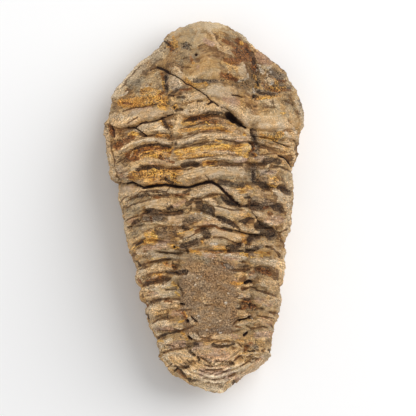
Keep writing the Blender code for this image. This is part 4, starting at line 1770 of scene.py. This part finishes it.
def strokes_mask(column, row, strokes):
    """1 on the strokes' lines, fading to 0 a little beyond their half width."""
    mask = np.zeros_like(column)
    for half_width, *flat in strokes:
        line = list(zip(flat[0::2], flat[1::2]))
        near = points_near(column, row, line, STROKE_REACH * half_width)
        off = distance_to_line(column[near], row[near], line)
        covered = 1.0 - ease(off, STROKE_CORE * half_width, STROKE_REACH * half_width)
        mask[near] = np.maximum(mask[near], covered)
    return mask


def cuts_depth(column, row, cuts):
    """Depth in mm below the surface of cracks or holes."""
    depth = np.zeros_like(column)
    for deepest, half_width, *flat in cuts:
        line = list(zip(flat[0::2], flat[1::2]))
        near = points_near(column, row, line, CUT_REACH * half_width)
        off = distance_to_line(column[near], row[near], line) / half_width
        depth[near] = np.maximum(depth[near], deepest * np.exp(-(off**2)))
    return depth


def midline_marks(end):
    """Where the midline meets the head's end, each furrow and the tail's end."""
    return [end] + [float(line) for line in furrow_lines(np.float64(MIDLINE))] + [-end]


def row_places():
    """Where the mesh rows cross the midline, tail to head, in step with the furrows."""
    end = HALF_LENGTH * TOP_REACH
    marks = midline_marks(end)
    counts = [round(CELLS_ALONG * (a - b) / (2 * end)) for a, b in zip(marks[:-1], marks[1:])]
    counts[0] += CELLS_ALONG - sum(counts)
    rows = [np.linspace(a, b, n + 1)[:-1] for a, b, n in zip(marks[:-1], marks[1:], counts)]
    return np.concatenate(rows + [[-end]])[::-1]


def furrow_bend(x, y):
    """How much further along than on the midline a row lies, so that rows follow the furrows."""
    marks = midline_marks(HALF_LENGTH)
    bends = [line - mark for line, mark in zip(furrow_lines(x), marks[1:-1])]
    bends = [np.zeros_like(x)] + bends + [np.zeros_like(x)]
    bend = np.zeros_like(x)
    for k in range(len(marks) - 1):
        share = (marks[k] - y) / (marks[k] - marks[k + 1])
        here = (share >= 0.0) & (share < 1.0)
        bend = np.where(here, bends[k] + (bends[k + 1] - bends[k]) * share, bend)
    return bend


def top_grid():
    """Rows and columns over the upper side, as points of the unit disc."""
    side = np.linspace(-1, 1, CELLS_ACROSS + 1)
    side = side * (1 + EDGE_CROWDING - EDGE_CROWDING * side**2) * TOP_REACH
    u, v = np.meshgrid(side, row_places() / HALF_LENGTH, indexing="ij")
    bowed = v * np.sqrt(1 - END_BOW * u**2 * v**4)
    across, _ = plan_place(u * np.sqrt(1 - bowed**2), bowed)
    q = bowed + furrow_bend(across, v * HALF_LENGTH) / HALF_LENGTH
    edge = q[0] * (1 - u) / 2 + q[-1] * (1 + u) / 2
    return u * np.sqrt(1 - edge**2), q


class Body:
    """The smooth body's points, and for each its share of the way out, how much relief it takes and
    the point whose place sets that relief; and the faces."""

    def __init__(self):
        self.points, self.share, self.strength = np.zeros((0, 3)), np.zeros(0), np.zeros(0)
        self.source = np.zeros(0, int)
        self.faces = []

    def add(self, place, height, share, strength, source=None):
        """Adds points and gives their numbers."""
        x, y, height, share, strength = np.broadcast_arrays(*place, height, share, strength)
        numbers = len(self.points) + np.arange(x.size)
        added = np.stack([x, y, height], axis=-1).reshape(-1, 3)
        self.points = np.concatenate([self.points, added])
        self.share = np.concatenate([self.share, share.reshape(-1)])
        self.strength = np.concatenate([self.strength, strength.reshape(-1)])
        self.source = np.concatenate([self.source, numbers if source is None else source])
        return numbers

    def join(self, *corners):
        """Adds faces, one for each set of corners."""
        self.faces += np.stack(np.broadcast_arrays(*corners), axis=-1).reshape(-1, len(corners)).tolist()

    def join_rings(self, upper, lower):
        """Faces between a ring and the next, which has as many points or half as many."""
        after = np.roll(lower, -1)
        if len(upper) == len(lower):
            self.join(upper, lower, after, np.roll(upper, -1))
            return
        first, middle, last = upper[::2], upper[1::2], np.roll(upper[::2], -1)
        corners = [(first, middle, middle), (lower, lower, after), (middle, after, last)]
        self.join(*(np.stack(corner, axis=-1) for corner in corners))


def flank_rings(rim_height):
    """Reach, height and share of the relief of each ring from the grid's rim down to the ground."""
    for step in range(1, FLANK_ROWS_ABOVE + 1):
        height = rim_height + (WIDEST_LEVEL - rim_height) * step / FLANK_ROWS_ABOVE
        yield dome_reach(height), height, 1.0
    for step in range(1, FLANK_ROWS_BELOW + 1):
        share = step / FLANK_ROWS_BELOW
        yield 1.0 - (1.0 - BASE_SHARE) * share**FLANK_TUCK, WIDEST_LEVEL * (1.0 - share), 1.0 - share


def smooth_body():
    """Dome, flank and flat underside before any relief."""
    p, q = top_grid()
    rho = np.hypot(p, q)
    body = Body()
    grid = body.add(plan_place(p, q), dome_height(rho), rho, 1.0).reshape(GRID_SHAPE)
    body.join(grid[:-1, :-1], grid[1:, :-1], grid[1:, 1:], grid[:-1, 1:])

    rim = np.concatenate([grid[:-1, 0], grid[-1, :-1], grid[:0:-1, -1], grid[0, :0:-1]])
    rim_rho = rho.reshape(-1)[rim]
    out_p, out_q = p.reshape(-1)[rim] / rim_rho, q.reshape(-1)[rim] / rim_rho
    upper = rim
    for reach, height, strength in flank_rings(dome_height(rim_rho)):
        lower = body.add(plan_place(out_p * reach, out_q * reach), height, 1.0, strength, source=rim)
        body.join_rings(upper, lower)
        upper = lower

    for number, reach in enumerate(UNDERSIDE_REACHES):
        if number in HALVED_RINGS:
            out_p, out_q = out_p[::2], out_q[::2]
        lower = body.add(plan_place(out_p * reach, out_q * reach), GROUND_LEVEL, 1.0, 0.0)
        body.join_rings(upper, lower)
        upper = lower
    centre = body.add(plan_place(np.zeros(1), np.zeros(1)), GROUND_LEVEL, 1.0, 0.0)
    body.join(upper, centre, np.roll(upper, -1))
    return body


def blurred(grid, reach):
    """Mean of a grid's values over a square of cells, twice over."""
    size = 2 * reach + 1
    for axis in (0, 1, 0, 1):
        first, last = np.take(grid, [0], axis), np.take(grid, [-1], axis)
        wide = [np.repeat(first, reach + 1, axis), grid, np.repeat(last, reach, axis)]
        total = np.cumsum(np.concatenate(wide, axis), axis)
        upto = np.take(total, range(size, total.shape[axis]), axis)
        before = np.take(total, range(0, total.shape[axis] - size), axis)
        grid = (upto - before) / size
    return grid


def hollows(height):
    """How far each point of the grid lies below those round it, -1 to 1, and 0 on the rest."""
    relief = height[:math.prod(GRID_SHAPE)].reshape(GRID_SHAPE)
    below = (blurred(relief, HOLLOW_REACH) - relief) / HOLLOW_DEPTH
    hollow = np.zeros_like(height)
    hollow[:below.size] = below.reshape(-1)
    return np.clip(hollow, -1.0, 1.0)


def on_head(back):
    """1 on the head, 0 on the ribs and the tail."""
    return ease(-back, *HEAD_EDGE)


def rock_relief(points, back, warp):
    """Lumps of the stone, the edges of its layers and its flakes, in mm; and the flakes' tone and hue."""
    out = np.zeros(len(points))
    for number, (size, height) in enumerate(ROCK_GRAIN):
        out += height * noise(points / size, ROCK_SEED + number)
    flow = np.stack([points[:, 0] / LAYER_STRETCH, back, points[:, 2] / LAYER_STRETCH], axis=1)
    for number, (size, height) in enumerate(LAYER_GRAIN):
        out += height * noise(flow / [1, size, 1], LAYER_SEED + number)
    looks = np.zeros((len(points), 2))
    along = np.stack([points[:, 0], back, points[:, 2]], axis=1) + warp
    for kinds, share in ((FLAKES, 1.0 - on_head(back)), (HEAD_FLAKES, on_head(back))):
        for number, (length, width, height) in enumerate(kinds):
            raised, look = flakes(along / [length, width, length], FLAKE_SEED + number)
            out += height * raised * share
            looks += look * share[:, None] / len(kinds)
    return out, flow, looks


def small_bends(points, first_seed):
    """Small random bends, in pixels."""
    total = np.zeros(len(points))
    for number, (size, reach) in enumerate(BENDS):
        total += reach * noise(points / (size * PIXEL), first_seed + number)
    return total


def mark_masks(column, row, bend_x, bend_y):
    """The mask of the cracks and of each kind of patch, and the relief of them all in mm."""
    cuts = cuts_depth(column + CRACK_BEND * bend_x, row + CRACK_BEND * bend_y, CRACKS + HOLES)
    masks = {"crack": np.clip(CRACK_MASK_GAIN * cuts, 0.0, 1.0)}
    relief = -cuts
    for name, (strokes, height, bend) in PATCHES.items():
        masks[name] = strokes_mask(column + bend * bend_x, row + bend * bend_y, strokes)
        relief += height * masks[name]
    return masks, relief


def tone_masks(column, row):
    """How light and how warm each point is, and how smooth."""
    light, warm, smooth = np.ones_like(column), np.zeros_like(column), np.zeros_like(column)
    for *oval, lighter, warmer in BROAD_TONES:
        inside = mound(column, row, *oval)
        light += lighter * inside
        warm += warmer * inside
    for oval in SMOOTH_PLACES:
        smooth = np.maximum(smooth, mound(column, row, *oval))
    return {"light": light, "warm": warm, "smooth": smooth}


def raised_surface(body, normals):
    """The body's points with all their relief; and the masks and the flow that the material reads."""
    bend_x, bend_y = (small_bends(body.points, seed) for seed in BEND_SEEDS)
    wear = 0.5 + 0.5 * noise(body.points / WEAR_SIZE, WEAR_SEED)
    raised = body.points
    for _ in range(RELIEF_PASSES):
        column, row = seen_place(raised)
        x = ((column + FORM_BEND * bend_x - MIDDLE_COLUMN) * PIXEL)[body.source]
        y = ((MIDDLE_ROW - row + FORM_BEND * bend_y) * PIXEL)[body.source]
        height, back = main_relief(x, y, body.share, wear)
        raised = body.points + normals * (height * body.strength)[:, None]
    column, row = seen_place(raised)
    rock = rock_patch(x, y)
    warp = np.stack([bend_x, bend_y, bend_x], axis=1) * PIXEL
    rough, flow, looks = rock_relief(body.points, back, warp)
    masks, relief = mark_masks(column, row, bend_x, bend_y)
    masks.update(tone_masks(column, row))
    height += relief + rough * (1 - ROCK_PATCH_SMOOTHNESS * rock)
    masks["hollow"] = hollows(height)
    masks["matrix"], masks["plain"] = rock, np.maximum(rock, on_head(back))
    masks["tone"], masks["hue"] = looks.T
    return body.points + normals * (height * body.strength)[:, None], masks, flow


def make_fossil():
    """The fossil's surface as one closed mesh, in the CAD part's box, with its masks as attributes."""
    body = smooth_body()
    mesh = bpy.data.meshes.new(PIECE)
    mesh.from_pydata((body.points * MM).tolist(), [], body.faces)
    normals = np.zeros(body.points.size)
    mesh.vertex_normals.foreach_get("vector", normals)
    points, masks, flow = raised_surface(body, normals.reshape(-1, 3))
    lowest, highest = points[:, 2].min(), points[:, 2].max()
    points[:, 2] = (points[:, 2] - lowest) * HEIGHT / (highest - lowest)
    mesh.vertices.foreach_set("co", (points * MM).reshape(-1))
    mesh.shade_smooth()
    mesh.update()
    for name, values in masks.items():
        mesh.attributes.new(name, "FLOAT", "POINT").data.foreach_set("value", values)
    mesh.attributes.new("flow", "FLOAT_VECTOR", "POINT").data.foreach_set("vector", flow.reshape(-1))
    fossil = bpy.data.objects.new(PIECE, mesh)
    bpy.context.scene.collection.objects.link(fossil)
    return fossil


def linear(red, green, blue):
    """A colour given as it looks on screen, 0 to 255, as the shader needs it."""
    return tuple((channel / 255) ** 2.2 for channel in (red, green, blue)) + (1.0,)


class Graph:
    """A short way to write a material's nodes."""

    def __init__(self, material):
        self.tree = material.node_tree

    def put(self, kind, inputs, **settings):
        """Adds a node, sets its settings, and sets or links its inputs by name or number."""
        made = self.tree.nodes.new(kind)
        for name, value in settings.items():
            setattr(made, name, value)
        self.fill(made, inputs)
        return made

    def fill(self, node, inputs):
        """Sets or links a node's inputs by name or number."""
        for key, value in inputs.items():
            if isinstance(value, bpy.types.NodeSocket):
                self.tree.links.new(value, node.inputs[key])
            else:
                node.inputs[key].default_value = value

    def mask(self, name):
        """A mask of the mesh."""
        return self.put("ShaderNodeAttribute", {}, attribute_name=name).outputs["Fac"]

    def noise(self, place, size, detail, roughness):
        """Noise between 0 and 1 with lumps of the given size in the units of the place."""
        inputs = {"Vector": place, "Scale": 1 / size, "Detail": detail, "Roughness": roughness}
        return self.put("ShaderNodeTexNoise", inputs).outputs["Fac"]

    def maths(self, operation, *values):
        """One sum on numbers."""
        return self.put("ShaderNodeMath", dict(enumerate(values)), operation=operation).outputs[0]

    def times(self, first, second):
        """Two numbers multiplied."""
        return self.maths("MULTIPLY", first, second)

    def weighted(self, first, *others):
        """Sum of values, each given with its weight."""
        total = self.times(*first)
        for value, weight in others:
            total = self.maths("MULTIPLY_ADD", value, weight, total)
        return total

    def remap(self, value, low, high, to_low=0.0, to_high=1.0):
        """The value eased from one range to another, and held at the ends."""
        inputs = {"Value": value, "From Min": low, "From Max": high, "To Min": to_low, "To Max": to_high}
        return self.put("ShaderNodeMapRange", inputs, interpolation_type="SMOOTHSTEP").outputs[0]

    def between(self, share, first, second):
        """Two numbers mixed."""
        return self.put("ShaderNodeMix", {0: share, 2: first, 3: second}).outputs[0]

    def mix(self, share, first, second, blend="MIX"):
        """Two colours mixed."""
        inputs = {0: share, 6: first, 7: second}
        return self.put("ShaderNodeMix", inputs, data_type="RGBA", blend_type=blend).outputs[2]


class Stone(Graph):
    """The stone's colour in layers, each laid over the colour that it is given."""

    def __init__(self, material):
        super().__init__(material)
        place = self.put("ShaderNodeTexCoord", {}).outputs["Object"]
        flow = self.put("ShaderNodeAttribute", {}, attribute_name="flow").outputs["Vector"]
        stretched = self.put("ShaderNodeVectorMath", {0: flow, 1: DASH_STRETCH}, operation="MULTIPLY")
        self.noises = {}
        for name, (size, detail, roughness) in STONE_NOISES.items():
            self.noises[name] = self.noise(place, size * MM, detail, roughness)
        self.noises["streaks"] = self.noise(flow, *STREAKS)
        self.noises["threads"] = self.noise(flow, *THREADS)
        self.noises["dashes"] = self.noise(stretched.outputs["Vector"], *DASHES)
        self.layers = self.between(self.mask("plain"), self.noises["threads"], self.noises["lumps"])
        self.smooth = self.times(self.mask("smooth"), SMOOTHING)
        sharp = self.weighted((self.noises["fine"], 0.5), (self.layers, 0.5))
        self.detail = self.between(self.smooth, sharp, 0.5)
        self.speckle = self.remap(self.detail, *SPECKLE_RANGE)
        broken = self.maths("MULTIPLY_ADD", self.speckle, RAGGED_BY_SPECKLE, RAGGED_BASE)
        self.ragged = self.maths("MULTIPLY_ADD", self.noises["middle"], RAGGED_BY_NOISE, broken)

    def plain(self):
        """Dark, middle and pale tan that run along the layers and change from flake to flake."""
        values = (self.noises["broad"], self.noises["streaks"], self.mask("tone"))
        tone = self.weighted(*zip(values, TONE_WEIGHTS))
        colour = self.mix(self.remap(tone, *DARK_TO_TAN), linear(*TAN_DARK), linear(*TAN))
        return self.mix(self.remap(tone, *TAN_TO_PALE), colour, linear(*TAN_PALE))

    def stained(self, colour, stains, edge):
        """Stains where their masks are, with ragged edges."""
        for name, low_tone, high_tone, strength in stains:
            ragged = self.times(self.mask(name), self.ragged)
            share = self.times(self.remap(ragged, *edge), strength)
            stain = self.mix(self.speckle, linear(*low_tone), linear(*high_tone))
            colour = self.mix(share, colour, stain)
        return colour

    def specked(self, colour):
        """Dark specks in grainy places."""
        specks = self.remap(self.mask("grainy"), *GRAINY_RANGE)
        specks = self.times(specks, self.remap(self.noises["fine"], *SPECK_RANGE))
        return self.mix(self.times(specks, SPECK_SHARE), colour, linear(*SPECK_COLOUR))

    def shaded_and_worn(self, colour):
        """Painted highlights with wear on the crests, painted shade with dirt in the hollows, dark pits, and
        pale flecks.
        """
        hollow = self.mask("hollow")
        # Painted highlight, with wear, on the crests
        most = self.maths("SUBTRACT", CREST_HIGHLIGHT_AND_WEAR_SHARE, self.times(self.mask("dark"), CREST_LOSS_ON_DARK))
        crest_highlight_and_wear = self.times(self.remap(hollow, *CREST_RANGE), most)
        colour = self.mix(crest_highlight_and_wear, colour, linear(*CREST_HIGHLIGHT_AND_WEAR_COLOUR))
        # Painted shade, with dirt, in the hollows
        sunken = self.times(self.remap(hollow, *HOLLOW_RANGE), HOLLOW_SHADE_AND_DIRT_SHARE)
        colour = self.mix(sunken, colour, linear(*HOLLOW_SHADE_AND_DIRT_COLOUR), blend="MULTIPLY")
        rugged = self.remap(self.noises["rugged"], *RUGGED_RANGE)
        pits = self.times(self.remap(self.detail, *PIT_RANGE), rugged)
        colour = self.mix(pits, colour, linear(*PIT_COLOUR), blend="MULTIPLY")
        flecks = self.times(self.remap(self.detail, *FLECK_RANGE), FLECK_SHARE)
        return self.mix(flecks, colour, linear(*FLECK_COLOUR))

    def crack_shaded(self, colour):
        """Painted shade in the cracks and holes, darker where they are deeper."""
        return self.mix(self.remap(self.mask("crack"), *CRACK_RANGE), colour, linear(*CRACK_SHADE_COLOUR))

    def tinted(self, colour):
        """Warmer and cooler from place to place."""
        hue = self.weighted((self.noises["hues"], HUE_BY_NOISE), (self.mask("hue"), HUE_BY_FLAKE))
        hue = self.maths("SUBTRACT", hue, self.mask("warm"))
        tint = self.mix(self.remap(hue, *HUE_RANGE), WARM_TINT, COOL_TINT)
        return self.mix(1.0, colour, tint, blend="MULTIPLY")

    def lightened(self, colour):
        """Lighter and darker grain by grain, less so in smooth places, and over broad areas."""
        light = self.remap(self.layers, *LAYER_LIGHT)
        light = self.times(light, self.remap(self.noises["grain"], *GRAIN_LIGHT))
        light = self.times(light, self.remap(self.noises["dashes"], *DASH_LIGHT))
        gritty = self.remap(self.noises["gritty"], *GRITTY_RANGE)
        calmer = self.times(self.maths("SUBTRACT", 1.0, self.smooth), gritty)
        light = self.maths("MULTIPLY_ADD", self.maths("SUBTRACT", light, 1.0), calmer, 1.0)
        light = self.times(light, self.mask("light"))
        shade = self.put("ShaderNodeCombineColor", {0: light, 1: light, 2: light}).outputs[0]
        return self.mix(1.0, colour, shade, blend="MULTIPLY")

    def bump(self):
        """The finest roughness of the surface."""
        rough = self.weighted((self.noises["grain"], BUMP_BY_GRAIN), (self.detail, BUMP_BY_DETAIL))
        inputs = {"Height": rough, "Strength": BUMP_STRENGTH, "Distance": BUMP_DISTANCE * MM}
        return self.put("ShaderNodeBump", inputs).outputs[0]


def stone_material():
    """Tan stone with streaks, grain and mineral stains; painted shade with dirt in the hollows, painted shade
    in the cracks, and painted highlights with wear on the crests and lips.
    """
    material = bpy.data.materials.new(SLOT)
    material.use_nodes = True
    stone = Stone(material)
    colour = stone.stained(stone.plain(), STAINS, STAIN_EDGE)
    colour = stone.shaded_and_worn(stone.specked(colour))
    # Thin lines of painted highlight and painted shade, then the painted shade in the cracks and holes
    colour = stone.crack_shaded(stone.stained(colour, THIN_STAINS, THIN_STAIN_EDGE))
    colour = stone.lightened(stone.tinted(colour))
    roughness = stone.remap(stone.noises["middle"], *ROUGHNESS_RANGE)
    inputs = {"Base Color": colour, "Roughness": roughness, "Normal": stone.bump()}
    stone.fill(material.node_tree.nodes["Principled BSDF"], inputs)
    return material


def add_lamp(name, settings, lit):
    """A round lamp that faces the fossil and lights one object."""
    place, size, energy = settings
    lamp = bpy.data.lights.new(name, "AREA")
    lamp.shape = "DISK"
    lamp.size = size
    lamp.energy = energy
    holder = bpy.data.objects.new(name, lamp)
    holder.location = place
    holder.rotation_mode = "QUATERNION"
    holder.rotation_quaternion = holder.location.to_track_quat("Z", "Y")
    bpy.context.scene.collection.objects.link(holder)
    receivers = bpy.data.collections.new(name + "_receivers")
    receivers.objects.link(lit)
    holder.light_linking.receiver_collection = receivers


def make_stage(fossil):
    """White floor, soft lamps above on the right, and even light from all round."""
    bpy.ops.mesh.primitive_plane_add(size=FLOOR_SIDE, location=(0, 0, 0))
    floor = bpy.context.object
    floor.name = "floor"
    white = bpy.data.materials.new("floor_white")
    white.use_nodes = True
    surface = white.node_tree.nodes["Principled BSDF"]
    surface.inputs["Base Color"].default_value = FLOOR_COLOUR
    surface.inputs["Roughness"].default_value = 1.0
    floor.data.materials.append(white)

    add_lamp("key_lamp", KEY_LAMP, fossil)
    add_lamp("side_lamp", SIDE_LAMP, floor)

    world = bpy.data.worlds.new("soft_light")
    world.use_nodes = True
    world.node_tree.nodes["Background"].inputs["Color"].default_value = (1.0, 1.0, 1.0, 1.0)
    world.node_tree.nodes["Background"].inputs["Strength"].default_value = SURROUNDING_LIGHT
    bpy.context.scene.world = world
    bpy.context.scene.view_settings.view_transform = "Standard"


def make_camera():
    """The camera straight above, with the photograph's frame."""
    camera = bpy.data.cameras.new("camera")
    camera.sensor_width = SENSOR
    camera.lens = SENSOR * CAMERA_DISTANCE / (PHOTO_SIDE * PIXEL)
    camera_object = bpy.data.objects.new("camera", camera)
    camera_object.location = (AIM_X * MM, AIM_Y * MM, (CAMERA_DISTANCE + WIDEST_LEVEL) * MM)
    bpy.context.scene.collection.objects.link(camera_object)
    bpy.context.scene.camera = camera_object


fossil = make_fossil()
fossil.data.materials.append(stone_material())
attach(fossil, "root")
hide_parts(NODE)
make_stage(fossil)
make_camera()
